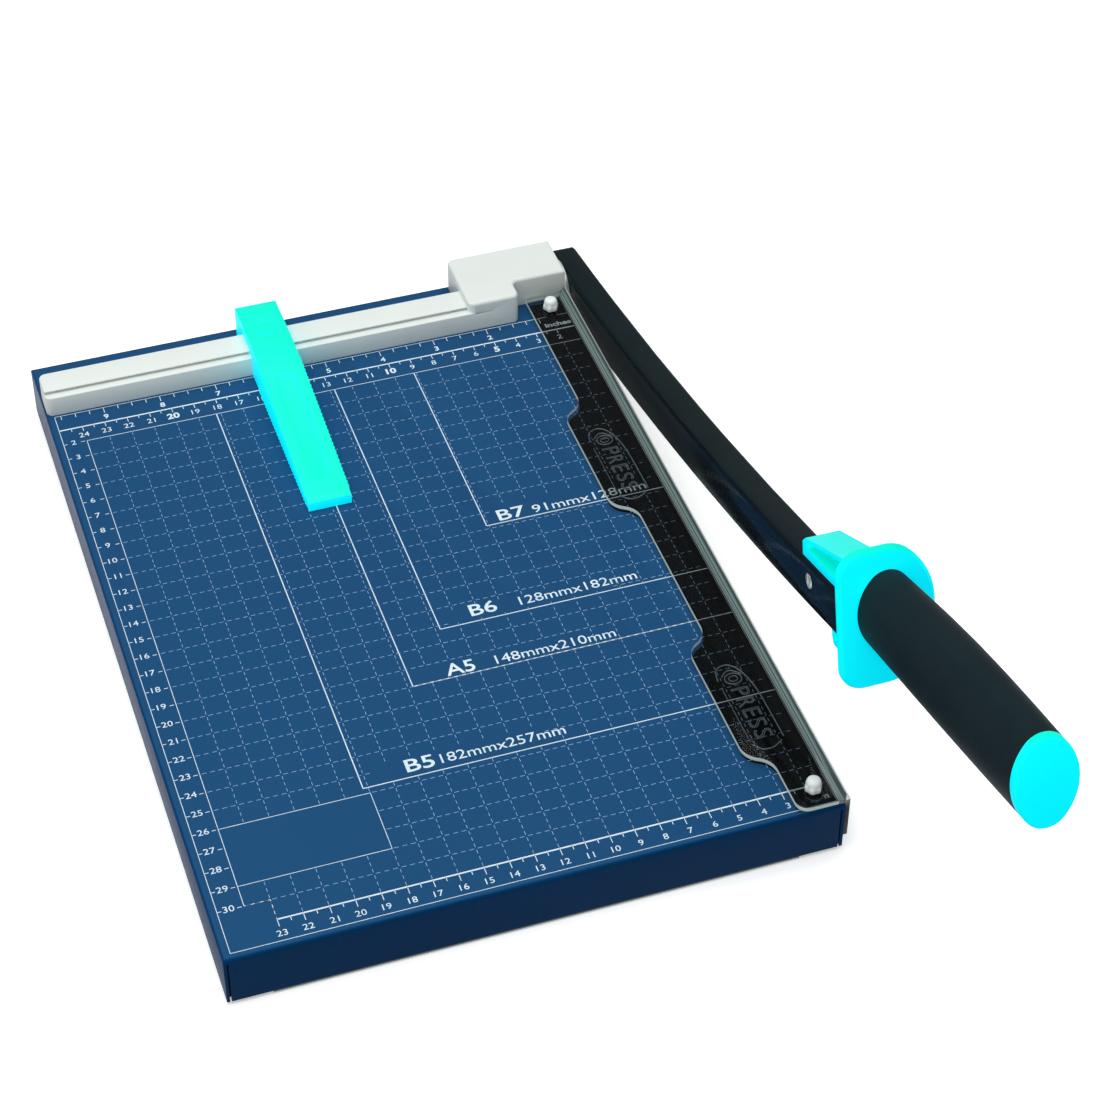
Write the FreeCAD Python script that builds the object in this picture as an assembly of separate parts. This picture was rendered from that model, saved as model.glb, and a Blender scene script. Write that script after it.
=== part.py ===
import FreeCAD, Part
import math
import os

# A4 guillotine paper trimmer: folded steel base with a sheet-metal deck, moulded fence and
# hinge cover, bowed cutting arm that shears past a bed knife, sprung clear hold-down guard,
# sliding paper stop and an offset hand grip.
#
# Frame: millimetres, +Z up.  The origin is the centre of the base's footprint on the table.
# +X is the cutting side, +Y is the hinge side, and the handle reaches out towards -Y.

os.makedirs("parts", exist_ok=True)
Vector = FreeCAD.Vector

# ---------------------------------------------------------------- base tray
base_width = 245.5          # along X
base_length = 360.0         # along Y
deck_height = 26.0          # top of the deck above the table
sheet = 1.2                 # steel sheet
fold_radius = 1.8           # outside radius of the fold round the deck
lip_width = 16.0            # return lips under the walls
end_lip_gap = 45.0          # the front and back lips stop this far from the corners
side_lip_gap = 12.0         # the side lips stop this far from the corners
seam_width = 0.7            # open seam where two folded walls meet

# ---------------------------------------------------------------- feet
foot_drop = 2.0             # the tray's lower edge above the table
foot_radius = 7.0
foot_stem_radius = 3.0
foot_bulb = 1.6             # the stem stands this far above the lip
foot_inset = 22.0           # from the ends of the base

# ---------------------------------------------------------------- fence and hinge cover
rail_depth = 16.4           # along Y
rail_height = 11.3          # above the deck
ledge_depth = 3.4           # narrow step along the front
ledge_height = 9.5
groove_height = 1.2         # slot in the riser that keeps the stop captive
groove_depth = 2.0
rail_back_gap = 19.5        # strip of deck left behind the rail
rail_end_gap = 0.8          # from the left edge of the base
cover_width = 49.7
cover_height = 15.0
notch_width = 25.7          # the cover steps back here, beside the guard
notch_depth = 11.1
moulding_wall = 2.0
moulding_corner = 3.0       # upright corners
moulding_edge = 1.6         # rounding along the top
slit_length = 8.0           # the groove runs on into the cover's front this far

# ---------------------------------------------------------------- hinge
pivot_from_back = 13.2      # pivot axis in front of the base's back edge
pivot_drop = 2.2            # pivot axis below the deck
bolt_radius = 2.5
bolt_head_height = 3.5
hex_flats = 8.0             # bolt head and nut, across flats
nut_height = 4.0
washer_radius = 5.0
washer_thickness = 1.0
spring_washer_thickness = 1.2
bolt_recess = 6.0           # the washers and the bolt's head sit this deep in the arm
spring_washer_split = 0.8
bush_wall = 1.8
bracket_thickness = 3.0
bracket_foot = 36.0         # length of the bracket's foot on the deck
bracket_drop = 17.0         # the bracket's leg below the deck
bracket_fit = 0.3           # round the bracket inside the cover
window_reach = 12.0         # opening in the deck and foot beside the leg, for the nut
window_half = 6.6           # half that opening's length in the foot

# ---------------------------------------------------------------- bed knife
knife_thickness = 2.6
knife_depth = 20.0
knife_front_gap = 1.8       # from the front edge of the base
ear_radius = 11.6           # round ear about the pivot
ear_blend = 4.0             # from the cutting edge up into the ear

# ---------------------------------------------------------------- cutting arm and blade
arm_span = 322.0            # the arm's bow crosses its chord at the pivot and here
arm_bow_radius = 2100.0
arm_depth = 20.4            # from the cutting edge to the top of the arm
arm_reach = 345.0           # end of the full-depth bar
arm_tail = 18.4             # behind the pivot
arm_tail_corner = 5.0
arm_tail_round = 4.5        # the tail's outer corner
arm_width = 11.5            # along X, blade included
arm_edge = 1.0
arm_lift = 3.5              # the bar's lower edge above the cutting edge
blade_thickness = 2.0
blade_height = 16.5
blade_start = 13.0          # in front of the pivot
blade_end_gap = 13.0        # the blade ends this far short of the bar
bevel_height = 3.0
bevel_land = 0.3
blade_gap = 0.15            # between the blade and the bed knife
rest_angle = 13.5           # how far the arm stands open at rest

# ---------------------------------------------------------------- handle
grip_gap = 14.0             # from the end of the bar to the front face of the hand guard
grip_rise = 17.1            # grip axis above the arm's chord, there
grip_tilt = 1.9             # grip axis to the arm's chord, in degrees
grip_offset = 0.8           # grip axis outside the arm's middle plane
grip_length = 124.0
grip_half_width = 12.0
grip_half_height = 16.7     # at the hand guard
grip_swell = 1.65           # extra half height in the middle
grip_end_swell = 1.1        # extra half height at the cap
grip_wall = 3.6
oval_end = 0.72             # radius of an oval's ends, as a share of its half width
grip_sag = 0.9              # how far the middle of the grip bows up
grip_floor = 8.0            # solid end of the grip
cap_thickness = 3.6
cap_edge = 0.7
cap_plug = 4.0
flange_thickness = 4.0
flange_half_width = 19.2
flange_top = 26.0           # above the grip axis
flange_bottom = 31.0        # below the grip axis
flange_corner = 10.0        # rounded corners on the base's side
flange_edge = 1.4
stub_length = 60.0          # the hand guard's stub inside the grip
tongue_length = 65.0        # the tongue on the arm, from the hand guard's front face
tongue_tip = 6.6            # height of the tip above the arm
tongue_rise = 16.0          # rise from the tip to the hand guard
tongue_wall = 1.8
hook_length = 38.0          # the hook under the arm, from the hand guard's front face
hook_tip = 6.0              # depth of the hook's tip below the arm
hook_root = 3.4             # and at the hand guard
hook_nose = 9.0             # length of the hook's full depth
cheek_thickness = 2.5
tang_thickness = 6.0
tang_depth = 11.0
tang_length = 106.0         # inside the grip
handle_screw_back = 5.0     # in front of the tongue's tip
handle_screw_rise = 0.4     # above the arm's middle line
handle_screw_radius = 1.8
handle_screw_head = 3.1

# ---------------------------------------------------------------- hold-down guard
guard_gap = 2.0             # above the deck at rest
guard_thickness = 1.8
guard_travel = 1.6
guard_inset = 0.6           # from the base's cutting side
guard_narrow = 19.3         # width of the plate between its thumb pads
guard_wide = 28.9           # width across the thumb pads
guard_overhang = 1.0        # past the front of the base
guard_back_gap = 1.8        # to the hinge cover
pad_length = 51.5           # straight side of a thumb pad
pad_blend = 16.0            # length of the S-curve into a pad
pad_centres = (38.0, -116.6)
lip_height = 3.0            # upturned lip above the plate
lip_top = 0.9
lip_foot = 2.8
lip_fade_start = 32.0       # the lip's cove fades between these distances from the front
lip_fade_end = 14.0
guard_corner = 5.0
post_inset = 10.8           # posts to the cutting side of the base
post_radius = 1.9
post_flange_radius = 3.3
post_flange = 0.5
post_from_front = 6.8
post_from_cover = 10.4
spring_pocket_radius = 3.9
spring_pocket_depth = 1.0
spring_wire = 0.25
spring_turns = 2.5
knob_radius = 3.9
knob_hex_height = 2.6
knob_height = 5.6

# ---------------------------------------------------------------- paper stop
stop_width = 18.8
stop_at = -19.5             # centre of the stop along X
stop_length = 97.2          # in front of the fence
stop_tail = 13.4            # behind the fence
stop_height = 17.6          # above the deck, over the rail
stop_tail_height = 17.0
stop_nose_height = 4.8
stop_shoulder = 6.0         # the flat top runs this far in front of the fence
stop_wall = 1.8
stop_clearance = 0.3
rib_pitch = 2.5             # finger ribs along the sides
rib_height = 0.5
rib_start = 13.0            # from the fence
slot_width = 9.0            # sunk panel in the top
slot_depth = 0.6
ring_radius = 5.2
spring_pocket = 4.4         # depth behind the rail for the friction spring

# ---------------------------------------------------------------- fasteners and fits
small_screw_radius = 2.0
small_head_radius = 3.6
small_head_height = 2.4
blade_head_height = 1.3     # low heads on the outer side of the arm
pilot_radius = 1.5
boss_radius = 3.6
screw_clearance = 0.1
running_clearance = 0.05
seat_gap = 0.1              # between a turning face and its washer
washer_clearance = 0.4      # round the washer in the arm
knob_gap = 0.3              # between a knob and the raised guard
hex_small = 7.0             # small nuts, across flats
small_nut_height = 3.0

# ---------------------------------------------------------------- derived places
half_width = base_width / 2
half_length = base_length / 2
deck_under = deck_height - sheet
pivot_y = half_length - pivot_from_back
pivot_z = deck_height - pivot_drop
rail_back = half_length - rail_back_gap
rail_front = rail_back - rail_depth
rail_left = -half_width + rail_end_gap
cover_left = half_width - cover_width
notch_left = half_width - notch_width
notch_y = rail_front + notch_depth
knife_face = half_width + knife_thickness
blade_face = knife_face + blade_gap
arm_face = blade_face + arm_width
arm_middle = blade_face + arm_width / 2
bow_height = math.sqrt(arm_bow_radius ** 2 - (arm_span / 2) ** 2)
arm_top_radius = arm_bow_radius - arm_depth / 2
edge_radius = arm_bow_radius + arm_depth / 2
blade_end = arm_reach - blade_end_gap
grip_start = arm_reach + grip_gap
tongue_start = grip_start - tongue_length
hook_start = grip_start - hook_length
handle_screw_at = tongue_start + handle_screw_back
bolt_seat = arm_face - bolt_recess


# ---------------------------------------------------------------- helpers
def box(x0, x1, y0, y1, z0, z1):
    return Part.makeBox(x1 - x0, y1 - y0, z1 - z0, Vector(x0, y0, z0))


def rod_z(radius, x, y, z0, z1):
    return Part.makeCylinder(radius, z1 - z0, Vector(x, y, z0))


def rod_x(radius, x0, x1, y, z):
    return Part.makeCylinder(radius, x1 - x0, Vector(x0, y, z), Vector(1, 0, 0))


def cone_x(radius0, radius1, x0, x1, y, z):
    return Part.makeCone(radius0, radius1, x1 - x0, Vector(x0, y, z), Vector(1, 0, 0))


def prism(points, along):
    wire = Part.makePolygon([Vector(p) for p in points] + [Vector(points[0])])
    return Part.Face(wire).extrude(along)


def hexagon_z(flats, x, y, z0, z1):
    corner = flats / math.sqrt(3)
    points = [Vector(x + corner * math.cos(math.radians(60 * k)),
                     y + corner * math.sin(math.radians(60 * k)), z0) for k in range(6)]
    return prism(points, Vector(0, 0, z1 - z0))


def hexagon_x(flats, x0, x1, y, z):
    corner = flats / math.sqrt(3)
    points = [Vector(x0, y + corner * math.cos(math.radians(60 * k)),
                     z + corner * math.sin(math.radians(60 * k))) for k in range(6)]
    return prism(points, Vector(x1 - x0, 0, 0))


def fillet(shape, radius, wanted):
    edges = [edge for edge in shape.Edges if wanted(edge)]
    return shape.makeFillet(radius, edges)


def upright(edge):
    box_of_edge = edge.BoundBox
    return box_of_edge.XLength < 0.001 and box_of_edge.YLength < 0.001


def at_height(edge, z):
    box_of_edge = edge.BoundBox
    return abs(box_of_edge.ZMin - z) < 0.001 and abs(box_of_edge.ZMax - z) < 0.001


def join(shapes):
    whole = shapes[0].multiFuse(shapes[1:]) if len(shapes) > 1 else shapes[0]
    return whole.removeSplitter()


def save(name, shapes):
    solids = []
    for shape in shapes:
        solids += shape.Solids
    for solid in solids:
        if not solid.isValid() or solid.Volume <= 0:
            raise ValueError(name + " holds a solid that is not valid")
    whole = solids[0] if len(solids) == 1 else Part.Compound(solids)
    whole.exportStep("parts/" + name + ".step")
    print(name, len(solids), round(whole.Volume, 1))


def hex_screw_x(y, z, seat, end, radius, flats, head_height):
    # the head bears on the face at seat, and the shank runs on to end
    way = 1 if end > seat else -1
    shank = rod_x(radius, min(seat, end), max(seat, end), y, z)
    head = hexagon_x(flats, min(seat, seat - way * head_height),
                     max(seat, seat - way * head_height), y, z)
    return join([shank, head])


def hex_screw_z(x, y, seat, end, radius, flats, head_height):
    way = 1 if end > seat else -1
    shank = rod_z(radius, x, y, min(seat, end), max(seat, end))
    head = hexagon_z(flats, x, y, min(seat, seat - way * head_height),
                     max(seat, seat - way * head_height))
    return join([shank, head])


def open_arm(shape):
    # arm parts are drawn with the chord of the bow level, then swung up to rest
    turned = shape.copy()
    turned.rotate(Vector(0, pivot_y, pivot_z), Vector(-1, 0, 0), rest_angle)
    return turned


def bow_point(x, reach, radius):
    # a point on an arc concentric with the bow, at this distance along the chord
    drop = math.sqrt(radius ** 2 - (reach - arm_span / 2) ** 2)
    return Vector(x, pivot_y - reach, pivot_z + bow_height - drop)


def bow_bar(section, start, end):
    # section: (x, radius) pairs, swept round the bow's centre from start to end
    centre = Vector(0, pivot_y - arm_span / 2, pivot_z + bow_height)
    points = [Vector(x, centre.y, centre.z - radius) for x, radius in section]
    face = Part.Face(Part.makePolygon(points + [points[0]]))
    angle0 = math.degrees(math.asin((start - arm_span / 2) / arm_bow_radius))
    angle1 = math.degrees(math.asin((end - arm_span / 2) / arm_bow_radius))
    face.rotate(centre, Vector(-1, 0, 0), angle0)
    return face.revolve(centre, Vector(-1, 0, 0), angle1 - angle0)


# ---------------------------------------------------------------- base tray
foot_x = half_width - sheet - lip_width / 2
foot_y = half_length - foot_inset
foot_places = [(sx * foot_x, sy * foot_y) for sx in (-1, 1) for sy in (-1, 1)]

post_x = half_width - post_inset
post_places = [(post_x, -half_length + post_from_front), (post_x, notch_y - post_from_cover)]

bracket_y0 = pivot_y - ear_radius
bracket_y1 = pivot_y + ear_radius
foot_y0 = notch_y + moulding_wall + bracket_fit
foot_y1 = half_length - moulding_wall - bracket_fit
bracket_screw_x = half_width - bracket_foot + 2 * small_head_radius
bracket_screw_places = [(bracket_screw_x, foot_y0 + 5.0), (bracket_screw_x, foot_y1 - 5.0)]
window_x = half_width - bracket_thickness - window_reach

fence_screw_y = rail_back - rail_depth / 2
rail_run = cover_left - rail_left
fence_screw_places = [(rail_left + rail_run * share, fence_screw_y) for share in (0.06, 0.37, 0.68)]
boss_inset = moulding_wall + boss_radius * 0.7
fence_screw_places.append((cover_left + boss_inset, rail_front + boss_inset))

knife_screw_z = deck_height - knife_depth * 0.6
knife_run = bracket_y0 + half_length - knife_front_gap
knife_screw_ys = [-half_length + knife_front_gap + knife_run * share
                  for share in (0.05, 0.34, 0.63, 0.92)]
ear_screw_ys = [pivot_y - ear_radius * 0.6, pivot_y + ear_radius * 0.5]


def make_base_tray():
    tray = box(-half_width, half_width, -half_length, half_length, foot_drop, deck_height)
    tray = fillet(tray, fold_radius, lambda edge: at_height(edge, deck_height))
    inside = box(-half_width + sheet, half_width - sheet, -half_length + sheet,
                 half_length - sheet, foot_drop - 1, deck_under)
    tray = tray.cut(inside)
    lips = []
    lip_top_z = foot_drop + sheet
    for side in (-1, 1):
        wall_y = side * (half_length - sheet)
        lips.append(box(-half_width + end_lip_gap, half_width - end_lip_gap,
                        min(wall_y, wall_y - side * lip_width),
                        max(wall_y, wall_y - side * lip_width), foot_drop, lip_top_z))
        wall_x = side * (half_width - sheet)
        lips.append(box(min(wall_x, wall_x - side * lip_width),
                        max(wall_x, wall_x - side * lip_width),
                        -half_length + side_lip_gap, half_length - side_lip_gap,
                        foot_drop, lip_top_z))
    tray = join([tray] + lips)
    cuts = []
    for side_x in (-1, 1):
        seam_x = side_x * (half_width - sheet - seam_width / 2)
        for side_y in (-1, 1):
            y0 = side_y * (half_length - sheet / 2)
            cuts.append(box(seam_x - seam_width / 2, seam_x + seam_width / 2, y0 - sheet,
                            y0 + sheet, foot_drop - 1, deck_height - fold_radius - sheet))
    # opening for the hinge bracket and its nut, through the deck and the side wall
    cuts.append(box(window_x, half_width + 1, bracket_y0, bracket_y1,
                    deck_height - bracket_drop, deck_height + 1))
    for x, y in foot_places:
        cuts.append(rod_z(foot_stem_radius, x, y, 0, lip_top_z + 1))
    for x, y in post_places:
        cuts.append(rod_z(post_radius + screw_clearance, x, y, deck_under - 1, deck_height + 1))
    for x, y in bracket_screw_places:
        cuts.append(rod_z(small_screw_radius + screw_clearance, x, y, deck_under - 1,
                          deck_height + 1))
    for x, y in fence_screw_places:
        cuts.append(rod_z(small_screw_radius + screw_clearance, x, y, deck_under - 1,
                          deck_height + 1))
    for y in knife_screw_ys:
        cuts.append(rod_x(small_screw_radius + screw_clearance, half_width - 3 * sheet,
                          half_width + 1, y, knife_screw_z))
    for cut in cuts:
        tray = tray.cut(cut)
    return tray


def make_foot(x, y):
    stem_top = foot_drop + sheet + foot_bulb
    profile = [(0, 0), (foot_radius, 0), (foot_radius, foot_drop),
               (foot_stem_radius, foot_drop), (foot_stem_radius, stem_top), (0, stem_top)]
    points = [Vector(x + r, y, z) for r, z in profile]
    face = Part.Face(Part.makePolygon(points + [points[0]]))
    return face.revolve(Vector(x, y, 0), Vector(0, 0, 1), 360)


save("base_tray", [make_base_tray()])
save("rubber_feet", [make_foot(x, y) for x, y in foot_places])


# ---------------------------------------------------------------- fence and hinge cover
def make_fence():
    rail_top = deck_height + rail_height
    ledge_top = deck_height + ledge_height
    overlap = moulding_corner + 4.0
    rail = box(rail_left, cover_left + overlap, rail_front, rail_back, deck_height, rail_top)
    rail = fillet(rail, moulding_corner,
                  lambda edge: upright(edge) and edge.BoundBox.XMax < rail_left + 0.1)
    riser = rail_front + ledge_depth
    rail = rail.cut(box(rail_left - 1, cover_left + overlap + 1, rail_front - 1, riser,
                        ledge_top, rail_top + 1))
    rail = fillet(rail, moulding_edge / 2,
                  lambda edge: at_height(edge, rail_top) and edge.BoundBox.XMax < cover_left)
    cover_top = deck_height + cover_height
    outline = [(cover_left, rail_front), (notch_left, rail_front), (notch_left, notch_y),
               (half_width, notch_y), (half_width, half_length), (cover_left, half_length)]
    cover = prism([Vector(x, y, deck_height) for x, y in outline], Vector(0, 0, cover_height))
    cover = fillet(cover, moulding_corner,
                   lambda edge: upright(edge) and edge.BoundBox.XMax < half_width - 0.1)
    cover = fillet(cover, moulding_edge, lambda edge: at_height(edge, cover_top))
    body = join([rail, cover])
    # hollow underneath, with cross ribs left standing in the rail
    wall = moulding_wall
    roof = ledge_top - wall
    hollow_start = rail_left + wall
    bays = 7
    bay = (cover_left - hollow_start) / bays
    for k in range(bays):
        body = body.cut(box(hollow_start + k * bay, hollow_start + (k + 1) * bay - wall,
                            rail_front + wall, rail_back - wall, deck_height - 1, roof))
    inner = [(cover_left + wall, rail_front + wall), (notch_left - wall, rail_front + wall),
             (notch_left - wall, notch_y + wall), (half_width - wall, notch_y + wall),
             (half_width - wall, half_length - wall), (cover_left + wall, half_length - wall)]
    body = body.cut(prism([Vector(x, y, deck_height - 1) for x, y in inner],
                          Vector(0, 0, cover_height - wall + 1)))
    # the groove that keeps the stop on the rail, and its run-out in the cover's front
    body = body.cut(box(rail_left - 1, cover_left, riser - 1, riser + groove_depth, ledge_top,
                        ledge_top + groove_height))
    slit = box(cover_left + moulding_corner, cover_left + moulding_corner + slit_length,
               rail_front - 1, rail_front + groove_depth / 2, ledge_top - groove_height,
               ledge_top)
    body = body.cut(slit)
    # room for the hinge bracket's leg
    body = body.cut(box(half_width - bracket_thickness - bracket_fit, half_width + 1,
                        foot_y0 - bracket_fit, foot_y1 + bracket_fit, deck_height - 1,
                        deck_height + bracket_thickness + bracket_fit))
    bosses = []
    for x, y in fence_screw_places:
        over = roof if x < cover_left else cover_top - wall
        boss = rod_z(boss_radius, x, y, deck_height, over + 0.5)
        bosses.append(boss)
    body = join([body] + bosses)
    for x, y in fence_screw_places:
        body = body.cut(rod_z(small_screw_radius, x, y, deck_height - 1, roof - 1))
    return body


def fence_screw(x, y):
    roof = deck_height + ledge_height - moulding_wall
    return hex_screw_z(x, y, deck_under, roof - 2.0, small_screw_radius, hex_small,
                       small_head_height)


save("fence_moulding", [make_fence()])
save("fence_screws", [fence_screw(x, y) for x, y in fence_screw_places])


# ---------------------------------------------------------------- bed knife
def make_bed_knife():
    top = deck_height
    plate = box(half_width, knife_face, -half_length + knife_front_gap, pivot_y,
                top - knife_depth, top)
    ear = rod_x(ear_radius, half_width, knife_face, pivot_y, pivot_z)
    # blend from the cutting edge up into the ear: a small round tangent to both
    rise = top + ear_blend - pivot_z
    reach = math.sqrt((ear_radius + ear_blend) ** 2 - rise ** 2)
    blend_y = pivot_y - reach
    touch = ear_radius / (ear_radius + ear_blend)
    blend = prism([Vector(half_width, blend_y, top - 1), Vector(half_width, blend_y, top),
                   Vector(half_width, pivot_y - reach * touch, pivot_z + rise * touch),
                   Vector(half_width, pivot_y, pivot_z), Vector(half_width, pivot_y, top - 1)],
                  Vector(knife_thickness, 0, 0))
    blend = blend.cut(rod_x(ear_blend, half_width - 1, knife_face + 1, blend_y,
                            top + ear_blend))
    knife = join([plate, ear, blend])
    knife = knife.cut(rod_x(bolt_radius + screw_clearance, half_width - 1, knife_face + 1,
                            pivot_y, pivot_z))
    for y in knife_screw_ys + ear_screw_ys:
        knife = knife.cut(rod_x(small_screw_radius, half_width - 1, knife_face - 0.5, y,
                                knife_screw_z))
    return knife


def make_knife_screws():
    end = knife_face - 0.6
    screws = []
    for y in knife_screw_ys:
        screws.append(hex_screw_x(y, knife_screw_z, half_width - sheet, end,
                                  small_screw_radius, hex_small, small_head_height))
    for y in ear_screw_ys:
        screws.append(hex_screw_x(y, knife_screw_z, half_width - bracket_thickness, end,
                                  small_screw_radius, hex_small, small_head_height))
    return screws


save("bed_knife", [make_bed_knife()])
save("knife_screws", make_knife_screws())


# ---------------------------------------------------------------- hinge bracket and pivot
def make_bracket():
    leg_x = half_width - bracket_thickness
    top = deck_height + bracket_thickness
    foot = box(half_width - bracket_foot, half_width, foot_y0, foot_y1, deck_height, top)
    foot = fillet(foot, 4.0, lambda edge: upright(edge)
                  and edge.BoundBox.XMax < half_width - bracket_foot + 0.1)
    leg = box(leg_x, half_width, bracket_y0, bracket_y1, deck_height - bracket_drop,
              deck_under)
    neck = box(leg_x, half_width, foot_y0, foot_y1, deck_under - 1, top)
    bracket = join([foot, leg, neck])
    bracket = bracket.cut(box(window_x, leg_x, pivot_y - window_half, pivot_y + window_half,
                              deck_height - 1, top + 1))
    bracket = bracket.cut(rod_x(bolt_radius + screw_clearance, leg_x - 1, half_width + 1,
                                pivot_y, pivot_z))
    for y in ear_screw_ys:
        bracket = bracket.cut(rod_x(small_screw_radius + screw_clearance, leg_x - 1,
                                    half_width + 1, y, knife_screw_z))
    for x, y in bracket_screw_places:
        bracket = bracket.cut(rod_z(small_screw_radius + screw_clearance, x, y,
                                    deck_height - 1, top + 1))
    return bracket


washer_x = bolt_seat + seat_gap
spring_washer_x = washer_x + washer_thickness
bolt_head_x = spring_washer_x + spring_washer_thickness
nut_x = half_width - bracket_thickness - nut_height


def make_bolt():
    shank = rod_x(bolt_radius, nut_x - 2.0, bolt_head_x + 1, pivot_y, pivot_z)
    head = hexagon_x(hex_flats, bolt_head_x, bolt_head_x + bolt_head_height, pivot_y, pivot_z)
    crown = cone_x(hex_flats, hex_flats * 0.46, bolt_head_x - hex_flats * 0.6,
                   bolt_head_x + bolt_head_height, pivot_y, pivot_z)
    return join([shank, head.common(crown)])


def make_washer():
    ring = rod_x(washer_radius, washer_x, washer_x + washer_thickness, pivot_y, pivot_z)
    return ring.cut(rod_x(bolt_radius + screw_clearance, washer_x - 1,
                          washer_x + washer_thickness + 1, pivot_y, pivot_z))


def make_spring_washer():
    # a split ring
    ring = rod_x(hex_flats / 2, spring_washer_x, bolt_head_x, pivot_y, pivot_z)
    ring = ring.cut(rod_x(bolt_radius + screw_clearance, spring_washer_x - 1, bolt_head_x + 1,
                          pivot_y, pivot_z))
    split = box(spring_washer_x - 1, bolt_head_x + 1, pivot_y - spring_washer_split / 2,
                pivot_y + spring_washer_split / 2, pivot_z, pivot_z + hex_flats)
    return ring.cut(split)


def make_nut():
    nut = hexagon_x(hex_flats, nut_x, nut_x + nut_height, pivot_y, pivot_z)
    return nut.cut(rod_x(bolt_radius, nut_x - 1, nut_x + nut_height + 1, pivot_y, pivot_z))


def bracket_screw(x, y):
    return hex_screw_z(x, y, deck_height + bracket_thickness, deck_under - small_nut_height - 1,
                       small_screw_radius, hex_small, small_head_height)


def small_nut(x, y, bore):
    nut = hexagon_z(hex_small, x, y, deck_under - small_nut_height, deck_under)
    return nut.cut(rod_z(bore, x, y, 0, deck_height))


save("hinge_bracket", [make_bracket()])
save("bracket_screws", [bracket_screw(x, y) for x, y in bracket_screw_places])
save("bracket_nuts", [small_nut(x, y, small_screw_radius) for x, y in bracket_screw_places])
save("pivot_bolt", [make_bolt()])
save("pivot_washer", [make_washer()])
save("pivot_spring_washer", [make_spring_washer()])
save("pivot_nut", [make_nut()])


# ---------------------------------------------------------------- cutting arm
def grip_frame(shape):
    # handle parts are drawn with the grip axis along -Y from the origin, then placed
    placed = shape.copy()
    placed.rotate(Vector(0, 0, 0), Vector(-1, 0, 0), grip_tilt)
    placed.translate(Vector(arm_middle + grip_offset, pivot_y - grip_start,
                            pivot_z + grip_rise))
    return placed


def grip_screw_shank():
    # from the end of the grip into the end of the tang
    seat = grip_length - cap_plug
    return Part.makeCylinder(small_screw_radius, seat - tang_length + 10.0,
                             Vector(0, -seat, 0), Vector(0, 1, 0))


def tail_round(shape):
    # rounded corners behind the pivot
    top = arm_top_radius
    keep = bow_bar([(blade_face - 1, top), (arm_face + 1, top), (arm_face + 1, edge_radius),
                    (blade_face - 1, edge_radius)], -arm_tail, arm_reach)
    tail_y = pivot_y + arm_tail - 1.0
    keep = fillet(keep, arm_tail_corner,
                  lambda edge: edge.BoundBox.YMin > tail_y and edge.BoundBox.XLength > 1)
    return shape.common(keep)


def tail_corner():
    # what the round on the tail's outer corner takes away
    corner_x = arm_face - arm_tail_round
    corner_y = pivot_y + arm_tail - arm_tail_round
    corner = box(corner_x, arm_face + 1, corner_y, corner_y + arm_tail,
                 pivot_z - arm_depth, pivot_z + arm_depth)
    return corner.cut(Part.makeCylinder(arm_tail_round, arm_depth * 3,
                                        Vector(corner_x, corner_y, pivot_z - arm_depth * 1.5)))


def make_tang():
    half = tang_thickness / 2
    upper = grip_rise + tang_depth / 2
    lower = grip_rise - tang_depth / 2
    slope = math.tan(math.radians(grip_tilt))
    inside = arm_reach - 6.0
    neck = grip_start - 3.0
    end = grip_start + tang_length
    outline = [(inside, -arm_depth / 2 + arm_lift + 1.0), (arm_reach + 2.0, -4.0),
               (grip_start, lower), (end, lower + slope * tang_length),
               (end, upper + slope * tang_length), (neck, upper), (inside, arm_depth / 2)]
    points = [Vector(arm_middle - half, pivot_y - reach, pivot_z + rise)
              for reach, rise in outline]
    return prism(points, Vector(tang_thickness, 0, 0))


def blade_screw_reaches():
    count = 4
    first = blade_start + 18.0
    last = handle_screw_at - 22.0
    return [first + (last - first) * k / (count - 1) for k in range(count)]


def screw_centre(reach):
    # on the blade's middle line
    return bow_point(0, reach, edge_radius - blade_height / 2 - 1.0)


def handle_screw_centre():
    return bow_point(0, handle_screw_at, arm_bow_radius - handle_screw_rise)


def make_arm():
    bar = bow_bar([(blade_face, arm_top_radius), (arm_face, arm_top_radius),
                   (arm_face, edge_radius - arm_lift), (blade_face, edge_radius - arm_lift)],
                  -arm_tail, arm_reach)
    bar = tail_round(bar)
    top_radius = arm_top_radius

    def along_top(edge):
        middle = edge.valueAt((edge.FirstParameter + edge.LastParameter) / 2)
        reach = pivot_y - middle.y
        if edge.BoundBox.YLength < arm_span / 2:
            return False
        return abs(middle.z - bow_point(0, reach, top_radius).z) < 0.2

    bar = bar.makeChamfer(arm_edge, [edge for edge in bar.Edges if along_top(edge)])
    bar = bar.cut(tail_corner())
    rebate = bow_bar([(blade_face - 1, edge_radius - blade_height),
                      (blade_face + blade_thickness, edge_radius - blade_height),
                      (blade_face + blade_thickness, edge_radius + 1),
                      (blade_face - 1, edge_radius + 1)], blade_start, blade_end)
    bar = bar.cut(rebate)
    bar = join([bar, make_tang()])
    bar = bar.cut(rod_x(bolt_radius + bush_wall, blade_face - 1, bolt_seat + 1, pivot_y, pivot_z))
    bar = bar.cut(rod_x(washer_radius + washer_clearance, bolt_seat, arm_face + 1, pivot_y,
                        pivot_z))
    for reach in blade_screw_reaches():
        centre = screw_centre(reach)
        bar = bar.cut(rod_x(small_screw_radius + screw_clearance, blade_face, arm_face + 1,
                            centre.y, centre.z))
    centre = handle_screw_centre()
    bar = bar.cut(rod_x(handle_screw_radius + screw_clearance, blade_face, arm_face + 1,
                        centre.y, centre.z))
    return bar.cut(grip_frame(grip_screw_shank()))


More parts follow.
